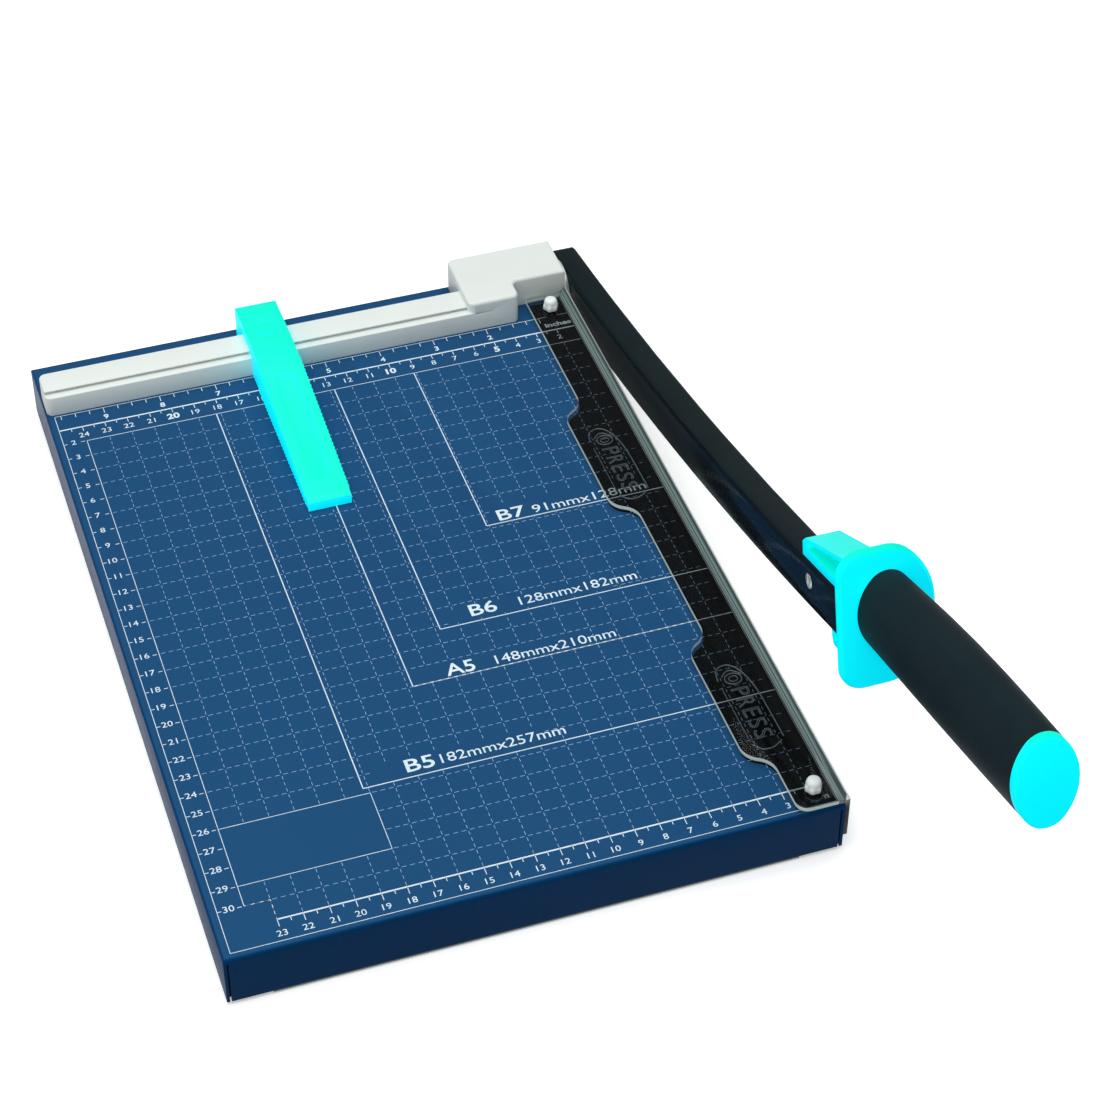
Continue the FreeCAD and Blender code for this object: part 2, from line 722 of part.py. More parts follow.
def make_blade():
    inner = blade_face
    outer = blade_face + blade_thickness
    top = edge_radius - blade_height
    blade = bow_bar([(inner, top), (outer, top), (outer, edge_radius - bevel_height),
                     (inner + bevel_land, edge_radius), (inner, edge_radius)],
                    blade_start, blade_end)
    for reach in blade_screw_reaches():
        centre = screw_centre(reach)
        blade = blade.cut(rod_x(small_screw_radius, inner + 0.5, outer + 1, centre.y, centre.z))
    centre = handle_screw_centre()
    blade = blade.cut(rod_x(handle_screw_radius + screw_clearance, inner - 1, outer + 1,
                            centre.y, centre.z))
    blade = blade.cut(cone_x(handle_screw_head, handle_screw_radius, inner,
                             inner + handle_screw_radius * 0.6, centre.y, centre.z))
    return blade


def make_blade_screw(reach):
    centre = screw_centre(reach)
    head = rod_x(small_head_radius, arm_face, arm_face + blade_head_height, centre.y, centre.z)
    shank = rod_x(small_screw_radius, blade_face + 0.6, arm_face + 0.5, centre.y, centre.z)
    return join([head, shank])


def make_handle_screw():
    centre = handle_screw_centre()
    head = cone_x(handle_screw_head, handle_screw_radius, blade_face,
                  blade_face + handle_screw_radius * 0.6, centre.y, centre.z)
    shank = rod_x(handle_screw_radius, blade_face + 0.3, arm_face + cheek_thickness - 0.6,
                  centre.y, centre.z)
    return join([head, shank])


def make_bush():
    bush = rod_x(bolt_radius + bush_wall, blade_face, bolt_seat, pivot_y, pivot_z)
    return bush.cut(rod_x(bolt_radius + running_clearance, blade_face - 1, bolt_seat + 1,
                          pivot_y, pivot_z))


arm = make_arm()
blade = make_blade()
save("cutting_arm", [open_arm(arm)])
save("blade", [open_arm(blade)])
save("blade_screws", [open_arm(make_blade_screw(reach)) for reach in blade_screw_reaches()])
save("arm_bush", [open_arm(make_bush())])
save("handle_screw", [open_arm(make_handle_screw())])


# ---------------------------------------------------------------- handle
def oval(half_wide, half_high, along, rise):
    # an upright oval wire across the grip axis, of four tangent arcs
    end_radius = half_wide * oval_end
    end_centre = half_high - end_radius
    side_radius = (end_centre ** 2 + half_wide ** 2 - end_radius ** 2) / (
        2 * (half_wide - end_radius))
    side_centre = half_wide - side_radius
    reach = math.hypot(side_centre, end_centre)
    join_x = side_centre - side_centre / reach * side_radius
    join_z = end_centre / reach * side_radius

    def arc(start, middle, end):
        points = [Vector(x, -along, rise + z) for x, z in (start, middle, end)]
        return Part.Arc(*points).toShape()

    return Part.Wire([arc((-join_x, join_z), (0, half_high), (join_x, join_z)),
                      arc((join_x, join_z), (half_wide, 0), (join_x, -join_z)),
                      arc((join_x, -join_z), (0, -half_high), (-join_x, -join_z)),
                      arc((-join_x, -join_z), (-half_wide, 0), (-join_x, join_z))])


bore_half_width = grip_half_width - grip_wall
bore_half_height = grip_half_height - grip_wall
bore_length = grip_length - grip_floor


def grip_section(share):
    # half height and rise of the grip's middle line, from 0 at the guard to 1 at the cap
    swell = grip_swell * math.sin(math.pi * share) + grip_end_swell * share
    rise = grip_sag * math.sin(math.pi * share)
    return grip_half_height + swell, rise


def make_grip():
    wires = []
    for share in (0, 0.17, 0.33, 0.5, 0.67, 0.83, 1):
        high, rise = grip_section(share)
        wires.append(oval(grip_half_width, high, grip_length * share, rise))
    grip = Part.makeLoft(wires, True, True)
    bore = Part.Face(oval(bore_half_width, bore_half_height, -1, 0))
    grip = grip.cut(bore.extrude(Vector(0, -(bore_length + 1), 0)))
    pocket = Part.Face(oval(bore_half_width, bore_half_height, grip_length + 1, 0))
    grip = grip.cut(pocket.extrude(Vector(0, cap_plug + 1, 0)))
    screw_way = Part.makeCylinder(small_screw_radius + screw_clearance, grip_length,
                                  Vector(0, -grip_length / 2, 0), Vector(0, -1, 0))
    return grip.cut(screw_way)


def make_cap():
    high = grip_section(1)[0]
    plate = Part.Face(oval(grip_half_width, high, grip_length, 0))
    plate = plate.extrude(Vector(0, -cap_thickness, 0))
    end_y = -grip_length - cap_thickness
    rim = [edge for edge in plate.Edges if abs(edge.BoundBox.YMin - end_y) < 0.01
           and abs(edge.BoundBox.YMax - end_y) < 0.01]
    plate = plate.makeChamfer(cap_edge, rim)
    plug = Part.Face(oval(bore_half_width - screw_clearance, bore_half_height - screw_clearance,
                          grip_length, 0))
    plug = plug.extrude(Vector(0, cap_plug - small_head_height - 0.4, 0))
    return join([plate, plug])


def make_grip_screw():
    seat = -(grip_length - cap_plug)
    head = Part.makeCylinder(small_head_radius, small_head_height, Vector(0, seat, 0),
                             Vector(0, -1, 0))
    return join([grip_screw_shank(), head])


def make_flange():
    # a straight side towards the base, and a half oval on the outer side
    wide = flange_half_width
    round_end = Vector(0, flange_thickness, 0)
    half = box(-wide, 0, 0, flange_thickness, -flange_bottom, flange_top)
    half = fillet(half, flange_corner, lambda edge: edge.BoundBox.XMax < -wide + 0.01
                  and edge.BoundBox.ZLength < 0.01)
    upper = Part.Face(oval(wide, flange_top, 0, 0)).extrude(round_end)
    upper = upper.common(box(-0.1, wide + 1, -1, flange_thickness + 1, 0, flange_top + 1))
    lower = Part.Face(oval(wide, flange_bottom, 0, 0)).extrude(round_end)
    lower = lower.common(box(-0.1, wide + 1, -1, flange_thickness + 1, -flange_bottom - 1, 0))
    plate = join([half, upper, lower])
    rims = [edge for edge in plate.Edges if edge.BoundBox.YLength < 0.01]
    return plate.makeChamfer(flange_edge, rims)


def collar_block(outline, x0, x1):
    points = [Vector(x0, pivot_y - reach, pivot_z + rise) for reach, rise in outline]
    return prism(points, Vector(x1 - x0, 0, 0))


def make_collar():
    flange = grip_frame(make_flange())
    stub = Part.Face(oval(bore_half_width - screw_clearance, bore_half_height - screw_clearance,
                          0, 0)).extrude(Vector(0, -stub_length, 0))
    stub = grip_frame(stub)
    back = grip_start - flange_thickness + 1.0
    top = arm_depth / 2
    under = -arm_depth / 2
    wall = tongue_wall
    tongue = collar_block([(tongue_start, top - 3.0), (tongue_start, top + tongue_tip * 0.6),
                           (tongue_start + 3.0, top + tongue_tip),
                           (back, top + tongue_tip + tongue_rise), (back, top - 3.0)],
                          blade_face, arm_face + cheek_thickness)
    hook = collar_block([(hook_start, under - hook_tip * 0.5), (hook_start + 1.5, under - hook_tip),
                         (hook_start + hook_nose, under - hook_tip), (back, under - hook_root),
                         (back, under + 4.0), (hook_start, under + 4.0)],
                        blade_face, arm_face + cheek_thickness)
    cheek = collar_block([(tongue_start, top + 2.0), (tongue_start - 2.0, 2.0),
                          (tongue_start, under + 5.0), (hook_start, under - 1.0),
                          (back, under - 1.0), (back, top + 2.0)],
                         arm_face, arm_face + cheek_thickness)
    block = collar_block([(arm_reach, under), (back, under), (back, top + tongue_tip),
                          (arm_reach, top + tongue_tip)], blade_face, arm_face)
    collar = join([flange, stub, tongue, hook, cheek, block])
    # side pockets in the tongue and the hook
    roof_slope = tongue_rise / (back - tongue_start - 3.0)
    pocket_start = tongue_start + 4.0
    pocket_end = back - 6.0
    roof = top + tongue_tip - wall + roof_slope * (pocket_start - tongue_start - 3.0)
    pocket = collar_block([(pocket_start, top + wall + 0.8), (pocket_end, top + wall + 3.2),
                           (pocket_end, roof + roof_slope * (pocket_end - pocket_start)),
                           (pocket_start, roof)], blade_face - 1, arm_face - 0.5)
    hook_pocket = collar_block([(hook_start + 3.0, under + 0.5), (back - 8.0, under + 0.5),
                                (back - 8.0, under - hook_root + wall),
                                (hook_start + hook_nose, under - hook_tip + wall + 0.4),
                                (hook_start + 3.0, under - hook_tip + wall + 0.4)],
                               blade_face - 1, arm_face - 0.5)
    collar = collar.cut(pocket).cut(hook_pocket)
    collar = collar.cut(bow_bar([(blade_face - 1, arm_top_radius), (arm_face, arm_top_radius),
                                 (arm_face, edge_radius), (blade_face - 1, edge_radius)],
                                -arm_tail, arm_reach))
    collar = collar.cut(make_tang())
    centre = handle_screw_centre()
    return collar.cut(rod_x(handle_screw_radius, arm_face - 1,
                            arm_face + cheek_thickness - 0.5, centre.y, centre.z))


save("handle_collar", [open_arm(make_collar())])
save("grip", [open_arm(grip_frame(make_grip()))])
save("grip_cap", [open_arm(grip_frame(make_cap()))])
save("grip_screw", [open_arm(grip_frame(make_grip_screw()))])


# ---------------------------------------------------------------- hold-down guard
guard_right = half_width - guard_inset
guard_narrow_x = guard_right - guard_narrow
guard_wide_x = guard_right - guard_wide
guard_front_y = -half_length - guard_overhang
guard_back_y = notch_y - guard_back_gap
guard_under = deck_height + guard_gap
guard_top = guard_under + guard_thickness


def s_curve(start, end):
    # two equal tangent arcs between two parallel straight sides
    middle = (start + end) * 0.5
    length = abs(end.y - start.y)
    offset = abs(end.x - start.x)
    radius = (length ** 2 + offset ** 2) / (4 * offset)
    half_turn = math.atan(offset / length)
    bulge = radius * (1 - math.cos(half_turn))
    chord = (end - start).normalize()
    side = Vector(-chord.y, chord.x, 0)
    toward = 1 if (end.x - start.x) * (end.y - start.y) < 0 else -1
    first = (start + middle) * 0.5 + side * (bulge * toward * -1)
    second = (middle + end) * 0.5 + side * (bulge * toward)
    return [Part.Arc(start, first, middle).toShape(), Part.Arc(middle, second, end).toShape()]


def make_guard():
    z = guard_under
    edges = []
    corner = guard_corner
    x_left = guard_narrow_x
    here = Vector(x_left, guard_back_y, z)
    edges.append(Part.makeLine(Vector(guard_right, guard_back_y, z), here))
    for centre in pad_centres:
        top_start = Vector(x_left, centre + pad_length / 2 + pad_blend, z)
        top_end = Vector(guard_wide_x, centre + pad_length / 2, z)
        low_start = Vector(guard_wide_x, centre - pad_length / 2, z)
        low_end = Vector(x_left, centre - pad_length / 2 - pad_blend, z)
        edges.append(Part.makeLine(here, top_start))
        edges += s_curve(top_start, top_end)
        edges.append(Part.makeLine(top_end, low_start))
        edges += s_curve(low_start, low_end)
        here = low_end
    bend_start = Vector(x_left, guard_front_y + corner, z)
    bend_end = Vector(x_left + corner, guard_front_y, z)
    bend_middle = Vector(x_left + corner * (1 - math.sqrt(0.5)),
                         guard_front_y + corner * (1 - math.sqrt(0.5)), z)
    edges.append(Part.makeLine(here, bend_start))
    edges.append(Part.Arc(bend_start, bend_middle, bend_end).toShape())
    edges.append(Part.makeLine(bend_end, Vector(guard_right, guard_front_y, z)))
    edges.append(Part.makeLine(Vector(guard_right, guard_front_y, z),
                               Vector(guard_right, guard_back_y, z)))
    plate = Part.Face(Part.Wire(edges)).extrude(Vector(0, 0, guard_thickness))
    # upturned lip with a coved inner side that fades out near the front
    lip_top_z = guard_top + lip_height
    wall = box(guard_right - lip_top, guard_right, guard_front_y, guard_back_y, z, lip_top_z)
    fade_start = guard_front_y + lip_fade_start
    fade_end = guard_front_y + lip_fade_end

    def cove_wire(y, foot):
        low = Vector(guard_right - lip_top - foot, y, guard_top)
        high = Vector(guard_right - lip_top, y, lip_top_z)
        middle = Vector(guard_right - lip_top - foot * 0.36, y, guard_top + lip_height * 0.36)
        inner = Vector(guard_right - lip_top / 2, y, guard_top - 0.4)
        peak = Vector(guard_right - lip_top / 2, y, lip_top_z)
        start = Vector(low.x, y, guard_top - 0.4)
        return Part.Wire([Part.Arc(low, middle, high).toShape(), Part.makeLine(high, peak),
                          Part.makeLine(peak, inner), Part.makeLine(inner, start),
                          Part.makeLine(start, low)])

    foot = lip_foot - lip_top
    cove = Part.Face(cove_wire(guard_back_y, foot)).extrude(
        Vector(0, fade_start - guard_back_y, 0))
    fade = Part.makeLoft([cove_wire(fade_start, foot), cove_wire(fade_end, foot * 0.12)],
                         True, True)
    plate = join([plate, wall, cove, fade])
    for x, y in post_places:
        plate = plate.cut(rod_z(post_radius + screw_clearance, x, y, z - 1, lip_top_z))
        plate = plate.cut(rod_z(spring_pocket_radius, x, y, z - 1, z + spring_pocket_depth))
    return plate


def make_post(x, y):
    shank = rod_z(post_radius, x, y, deck_under - small_nut_height - 1,
                  guard_top + knob_gap + knob_hex_height)
    flange = rod_z(post_flange_radius, x, y, deck_height, deck_height + post_flange)
    return join([shank, flange])


def make_knob(x, y):
    low = guard_top + knob_gap
    skirt = hexagon_z(knob_radius * math.sqrt(3), x, y, low, low + knob_hex_height)
    dome_radius = knob_radius * 0.9
    dome_height = knob_height - knob_hex_height
    ball_radius = (dome_radius ** 2 + dome_height ** 2) / (2 * dome_height)
    ball = Part.makeSphere(ball_radius, Vector(x, y, low + knob_height - ball_radius))
    ball = ball.common(rod_z(ball_radius + 1, x, y, low + knob_hex_height,
                             low + knob_height + 1))
    knob = join([skirt, ball])
    return knob.cut(rod_z(post_radius, x, y, low - 1, low + knob_hex_height))


def make_guard_spring(x, y):
    # a conical coil between the post's flange and the pocket in the guard
    low = deck_height + post_flange + spring_wire
    high = guard_under + spring_pocket_depth - spring_wire
    outer = spring_pocket_radius - spring_wire - 0.2
    inner = post_radius + spring_wire + 0.25
    rise = high - low
    pitch = rise / spring_turns
    slope = math.degrees(math.atan((outer - inner) / rise))
    helix = Part.makeHelix(pitch, rise, outer, -slope)
    w = spring_wire
    section = Part.makePolygon([Vector(outer - w, 0, -w), Vector(outer + w, 0, -w),
                                Vector(outer + w, 0, w), Vector(outer - w, 0, w),
                                Vector(outer - w, 0, -w)])
    coil = Part.Wire(helix).makePipeShell([section], True, True)
    coil.translate(Vector(x, y, low))
    return coil


save("guard_plate", [make_guard()])
save("guard_posts", [make_post(x, y) for x, y in post_places])
save("guard_nuts", [small_nut(x, y, post_radius) for x, y in post_places])
save("guard_springs", [make_guard_spring(x, y) for x, y in post_places])
save("guard_knobs", [make_knob(x, y) for x, y in post_places])


# ---------------------------------------------------------------- paper stop
def stop_profile(inset, x):
    # side view, drawn this far inside the outer surface
    floor = deck_height + stop_clearance
    top = deck_height + stop_height - inset
    back = rail_back + stop_tail - inset
    nose = rail_front - stop_length + inset
    shoulder = rail_front - stop_shoulder
    return [(back, floor), (back, deck_height + stop_tail_height - inset - 1.5),
            (back - 1.5, deck_height + stop_tail_height - inset),
            (rail_front + rail_depth / 2, top), (shoulder, top),
            (nose, deck_height + stop_nose_height - inset), (nose, floor)]


def make_stop():
    left = stop_at - stop_width / 2
    right = stop_at + stop_width / 2
    side = [Vector(left - 2, y, z) for y, z in stop_profile(0, left)]
    body = prism(side, Vector(stop_width + 4, 0, 0))
    # plan outline with finger ribs along both sides
    nose = rail_front - stop_length
    first = rail_front - rib_start
    count = int((first - nose - 4.0) / rib_pitch)
    back = rail_back + stop_tail
    plan = [(left, back + 1), (left, first)]
    for k in range(count):
        y = first - k * rib_pitch
        plan += [(left - rib_height, y - rib_pitch * 0.5), (left, y - rib_pitch)]
    plan += [(left, nose - 1), (right, nose - 1)]
    for k in reversed(range(count)):
        y = first - k * rib_pitch
        plan += [(right, y - rib_pitch), (right + rib_height, y - rib_pitch * 0.5)]
    plan += [(right, first), (right, back + 1)]
    body = body.common(prism([Vector(x, y, deck_height - 1) for x, y in plan],
                             Vector(0, 0, stop_height + 5)))
    # hollow nose
    gap = stop_clearance
    wall = stop_wall
    floor = deck_height - 1
    front_wall = rail_front - gap - wall
    side = [(front_wall, floor), (front_wall, deck_height + stop_height - wall - 1.0)]
    slope = (stop_height - stop_nose_height) / (stop_length - stop_shoulder)
    shoulder = rail_front - stop_shoulder
    side.append((shoulder, deck_height + stop_height - wall - 1.0))
    inner_nose = nose + 2 * wall + 6.0
    side.append((inner_nose, deck_height + stop_height - wall - 1.0
                 - slope * (shoulder - inner_nose)))
    side.append((inner_nose, floor))
    body = body.cut(prism([Vector(left + wall, y, z) for y, z in side],
                          Vector(stop_width - 2 * wall, 0, 0)))
    # channel over the rail, with a tongue in the rail's groove
    riser = rail_front + ledge_depth
    ledge_top = deck_height + ledge_height
    rail_top = deck_height + rail_height
    channel = [(rail_front - gap, floor), (rail_front - gap, ledge_top + gap),
               (riser - gap, ledge_top + gap), (riser - gap, rail_top + gap),
               (rail_back + gap, rail_top + gap), (rail_back + gap, floor)]
    body = body.cut(prism([Vector(left - 2, y, z) for y, z in channel],
                          Vector(stop_width + 4, 0, 0)))
    slide_gap = 0.25
    tongue = box(left, right, riser - gap - 1.0, riser + groove_depth - gap,
                 ledge_top + slide_gap + 0.1, ledge_top + groove_height - slide_gap)
    body = join([body, tongue])
    # hollow tail behind the rail, open below, with a pocket for the friction spring
    pocket_back = rail_back + spring_pocket
    body = body.cut(box(left + wall, right - wall, rail_back + gap - 0.1, pocket_back,
                        floor, rail_top - 1.0))
    body = body.cut(box(left + wall, right - wall, pocket_back + wall,
                        rail_back + stop_tail - wall, floor, rail_top - 1.0))
    # sunk panel and ring on top
    body = body.cut(sunk_panel())
    ring_y = rail_front + rail_depth * 0.55
    ring_z = deck_height + stop_height - 0.35
    ring = rod_z(ring_radius, stop_at, ring_y, ring_z, ring_z + 3)
    ring = ring.cut(rod_z(ring_radius - 0.6, stop_at, ring_y, ring_z - 1, ring_z + 4))
    return body.cut(ring)


def sunk_panel():
    slope = math.atan((stop_height - stop_nose_height) / (stop_length - stop_shoulder))
    run = (stop_length - stop_shoulder) / math.cos(slope)
    start = 16.0
    end = run - 12.0
    half = slot_width / 2
    slab = box(stop_at - half, stop_at + half, -end + half, -start - half, -slot_depth, 5)
    ends = [rod_z(half, stop_at, -start - half, -slot_depth, 5),
            rod_z(half, stop_at, -end + half, -slot_depth, 5)]
    slab = join([slab] + ends)
    slab.rotate(Vector(0, 0, 0), Vector(1, 0, 0), math.degrees(slope))
    slab.translate(Vector(0, rail_front - stop_shoulder, deck_height + stop_height))
    return slab


def make_stop_spring():
    # a bowed strip between the stop's tail wall and the back of the rail
    thick = 0.4
    y_wall = rail_back + spring_pocket
    y_touch = rail_back + 0.1
    z0 = deck_height + 2.0
    z1 = z0 + 6.0
    half = stop_width / 2 - stop_wall - 0.8

    def strip(offset):
        return [Vector(stop_at - half, y_wall - offset, z0),
                Vector(stop_at, y_touch + thick - offset, z0),
                Vector(stop_at + half, y_wall - offset, z0)]

    outer = strip(0)
    inner = strip(thick)
    wire = Part.Wire([Part.Arc(*outer).toShape(), Part.makeLine(outer[2], inner[2]),
                      Part.Arc(inner[2], inner[1], inner[0]).toShape(),
                      Part.makeLine(inner[0], outer[0])])
    return Part.Face(wire).extrude(Vector(0, 0, z1 - z0))


save("paper_stop", [make_stop()])
save("stop_spring", [make_stop_spring()])
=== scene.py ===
import bpy
import bmesh
import math
from mathutils import Matrix, Vector


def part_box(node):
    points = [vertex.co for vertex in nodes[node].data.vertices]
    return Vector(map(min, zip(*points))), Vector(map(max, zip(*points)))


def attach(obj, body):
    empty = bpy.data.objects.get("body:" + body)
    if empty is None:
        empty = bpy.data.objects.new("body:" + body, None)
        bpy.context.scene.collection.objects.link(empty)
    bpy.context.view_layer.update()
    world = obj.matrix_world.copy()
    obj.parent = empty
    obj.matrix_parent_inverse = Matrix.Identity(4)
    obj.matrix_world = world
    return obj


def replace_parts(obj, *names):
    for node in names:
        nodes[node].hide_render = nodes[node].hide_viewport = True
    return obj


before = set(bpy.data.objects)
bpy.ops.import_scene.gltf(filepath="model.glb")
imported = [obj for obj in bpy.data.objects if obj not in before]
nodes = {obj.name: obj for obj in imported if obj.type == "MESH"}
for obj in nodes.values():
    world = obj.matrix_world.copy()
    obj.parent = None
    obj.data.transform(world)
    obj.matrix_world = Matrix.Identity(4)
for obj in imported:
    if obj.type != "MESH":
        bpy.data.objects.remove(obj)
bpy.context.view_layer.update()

mm = 0.001
scene = bpy.context.scene
print("frame loaded with", len(nodes), "nodes")


def linear(hexText):
    # a hex colour as linear red, green, blue and alpha
    values = [int(hexText[i:i + 2], 16) / 255 for i in (1, 3, 5)]
    return tuple(v / 12.92 if v <= 0.04045 else ((v + 0.055) / 1.055) ** 2.4 for v in values) + (1.0,)


def addNode(tree, kind, settings=None, links=None):
    # settings are socket values or properties of the node, links are sockets that feed it
    node = tree.nodes.new(kind)
    for name, value in (settings or {}).items():
        if isinstance(name, int) or name in node.inputs:
            node.inputs[name].default_value = value
        else:
            setattr(node, name, value)
    for name, socket in (links or {}).items():
        tree.links.new(socket, node.inputs[name])
    return node


def newPiece(name, mesh, material, body, sharp=35):
    piece = bpy.data.objects.new(name, mesh)
    scene.collection.objects.link(piece)
    if not mesh.materials:
        mesh.materials.append(material)
    mesh.polygons.foreach_set("use_smooth", [True] * len(mesh.polygons))
    mesh.set_sharp_from_angle(angle=math.radians(sharp))
    if body:
        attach(piece, body)
    return piece


def meshFrom(bm, name):
    mesh = bpy.data.meshes.new(name)
    bm.to_mesh(mesh)
    bm.free()
    return mesh


def evaluated(piece, name):
    # the finished mesh of a working object, which is then thrown away
    bpy.context.view_layer.update()
    graph = bpy.context.evaluated_depsgraph_get()
    mesh = bpy.data.meshes.new_from_object(piece.evaluated_get(graph))
    mesh.name = name
    data = piece.data
    bpy.data.objects.remove(piece)
    if isinstance(data, bpy.types.Curve) and not data.users:
        bpy.data.curves.remove(data)
    return mesh


def makeMaterial(name, look):
    # two close colours that drift into each other, and one grain for both gloss and bump
    material = bpy.data.materials.new(name)
    material.use_nodes = True
    tree = material.node_tree
    tree.nodes.clear()
    place = addNode(tree, "ShaderNodeTexCoord")
    spread = addNode(tree, "ShaderNodeMapping", {"Scale": look.get("stretch", (1, 1, 1))},
                     {"Vector": place.outputs["Object"]})
    drift = addNode(tree, "ShaderNodeTexNoise", {"Scale": 1 / (look["drift"] * mm), "Detail": 2.0},
                    {"Vector": spread.outputs[0]})
    grain = addNode(tree, "ShaderNodeTexNoise",
                    {"Scale": 1 / (look["grain"] * mm), "Detail": look.get("detail", 3.0),
                     "Roughness": 0.6}, {"Vector": spread.outputs[0]})
    share = addNode(tree, "ShaderNodeMapRange",
                    {"From Min": 0.3, "From Max": 0.7}, {"Value": drift.outputs[0]})
    colour = addNode(tree, "ShaderNodeMix", {"data_type": "RGBA", 6: linear(look["colour"]),
                     7: linear(look["second"])}, {0: share.outputs[0]})
    low, high = look["roughness"]
    rough = addNode(tree, "ShaderNodeMapRange",
                    {"From Min": 0.3, "From Max": 0.7, "To Min": low, "To Max": high},
                    {"Value": grain.outputs[0]})
    bump = addNode(tree, "ShaderNodeBump", {"Strength": look.get("strength", 0.6),
                   "Distance": look["depth"] * mm}, {"Height": grain.outputs[0]})
    shader = addNode(tree, "ShaderNodeBsdfPrincipled", look.get("shader", {}),
                     {"Base Color": colour.outputs[2], "Roughness": rough.outputs[0],
                      "Normal": bump.outputs[0]})
    addNode(tree, "ShaderNodeOutputMaterial", {}, {"Surface": shader.outputs[0]})
    return material, tree, {"place": place, "colour": colour, "shader": shader, "rough": rough}


# Baked enamel on folded steel with a fine orange peel. The walls are a darker navy as painted shade, and
# every face that looks up is a lighter blue as painted light from above.
deckLook = {"colour": "#023560", "second": "#033865", "drift": 60, "grain": 1.6, "depth": 0.02,
            "roughness": (0.3, 0.38), "strength": 0.3, "shader": {"Specular IOR Level": 0.015}}
deckLitTop = {"colour": "#1D4971", "second": "#204C75", "drift": 90}
deckEnamel, tree, parts = makeMaterial("baked_enamel_steel", deckLook)
# painted light and shade: the lighter blue on faces that look up, and the navy of deckLook on the walls
up = addNode(tree, "ShaderNodeSeparateXYZ", {}, {0: parts["place"].outputs["Normal"]})
isLitTop = addNode(tree, "ShaderNodeMapRange", {"From Min": 0.7, "From Max": 0.95}, {"Value": up.outputs[2]})
topDrift = addNode(tree, "ShaderNodeTexNoise", {"Scale": 1 / (deckLitTop["drift"] * mm), "Detail": 2.0},
                   {"Vector": parts["place"].outputs["Object"]})
litTopColour = addNode(tree, "ShaderNodeMix", {"data_type": "RGBA", 6: linear(deckLitTop["colour"]),
                    7: linear(deckLitTop["second"])}, {0: topDrift.outputs[0]})
litTopShadedWalls = addNode(tree, "ShaderNodeMix", {"data_type": "RGBA"},
                  {0: isLitTop.outputs[0], 6: parts["colour"].outputs[2], 7: litTopColour.outputs[2]})
tree.links.new(litTopShadedWalls.outputs[2], parts["shader"].inputs["Base Color"])

# Screen ink, matt and a little uneven where the mesh left it thin.
screenInk = makeMaterial("screen_ink", {
    "colour": "#DDE9EE", "second": "#C6D9E2", "drift": 6, "grain": 0.5, "depth": 0.01,
    "roughness": (0.5, 0.65), "shader": {"Specular IOR Level": 0.2}})[0]

# The same ink laid on thinner for the fine grid, so that it reads duller than the scales.
thinInk = makeMaterial("thin_screen_ink", {
    "colour": "#94B4D2", "second": "#83A5C6", "drift": 6, "grain": 0.5, "depth": 0.01,
    "roughness": (0.5, 0.65), "shader": {"Specular IOR Level": 0.2}})[0]

# Near-black matt ink: painted shade, standing in for the shadow under the smoked acrylic guard and in the
# tray's corner seams.
paintedShadeBlack = makeMaterial("painted_shade_black", {
    "colour": "#05090B", "second": "#070C0F", "drift": 20, "grain": 0.6, "depth": 0.01,
    "roughness": (0.55, 0.7), "shader": {"Specular IOR Level": 0.05}})[0]

# Moulded ABS with a fine spark-eroded skin: an even off-white with a soft gloss.
mouldedAbs = makeMaterial("moulded_abs", {
    "colour": "#DBE1DD", "second": "#D7DDD9", "drift": 45, "grain": 0.5, "depth": 0.015,
    "roughness": (0.38, 0.5), "shader": {"Specular IOR Level": 0.3}})[0]

# Ground tool steel: fine grinding lines along its bright top, and black oxide on its other sides.
knifeLook = {"colour": "#D6DBD9", "second": "#C6CCCA", "drift": 12, "grain": 0.35, "depth": 0.008,
             "stretch": (1, 0.03, 1), "roughness": (0.28, 0.42), "shader": {"Specular IOR Level": 0.18},
             "oxide": "#14191B", "bareMetal": 0.55}
groundSteel, tree, parts = makeMaterial("ground_tool_steel", knifeLook)
facing = addNode(tree, "ShaderNodeSeparateXYZ", {}, {0: parts["place"].outputs["Normal"]})
isGround = addNode(tree, "ShaderNodeMapRange", {"From Min": 0.1, "From Max": 0.3},
                   {"Value": facing.outputs[2]})
oxide = addNode(tree, "ShaderNodeMix", {"data_type": "RGBA", 6: linear(knifeLook["oxide"])},
                {0: isGround.outputs[0], 7: parts["colour"].outputs[2]})
bare = addNode(tree, "ShaderNodeMath", {"operation": "MULTIPLY", 1: knifeLook["bareMetal"]},
               {0: isGround.outputs[0]})
tree.links.new(bare.outputs[0], parts["shader"].inputs["Metallic"])
tree.links.new(oxide.outputs[2], parts["shader"].inputs["Base Color"])

# Pressed zinc-plated steel: bright, a little cloudy.
zincSteel = makeMaterial("zinc_plated_steel", {
    "colour": "#C3C7C6", "second": "#A9AFB1", "drift": 5, "grain": 0.4, "depth": 0.006,
    "roughness": (0.25, 0.42), "shader": {"Metallic": 1.0}})[0]

# A plain, dull grey along the lip's fold below the front wall: painted highlight, where the fold catches
# light from the floor.
litLipGrey = makeMaterial("lip_painted_highlight", {
    "colour": "#8B9794", "second": "#7D8986", "drift": 20, "grain": 0.5, "depth": 0.01,
    "stretch": (0.1, 1, 1), "roughness": (0.5, 0.6), "shader": {"Specular IOR Level": 0.1}})[0]

# Nickel-plated screws: brighter and smoother than zinc.
nickelScrew = makeMaterial("nickel_plated_steel", {
    "colour": "#F0EFEA", "second": "#E2E2DD", "drift": 3, "grain": 0.3, "depth": 0.004,
    "roughness": (0.2, 0.32), "shader": {"Metallic": 0.35}})[0]

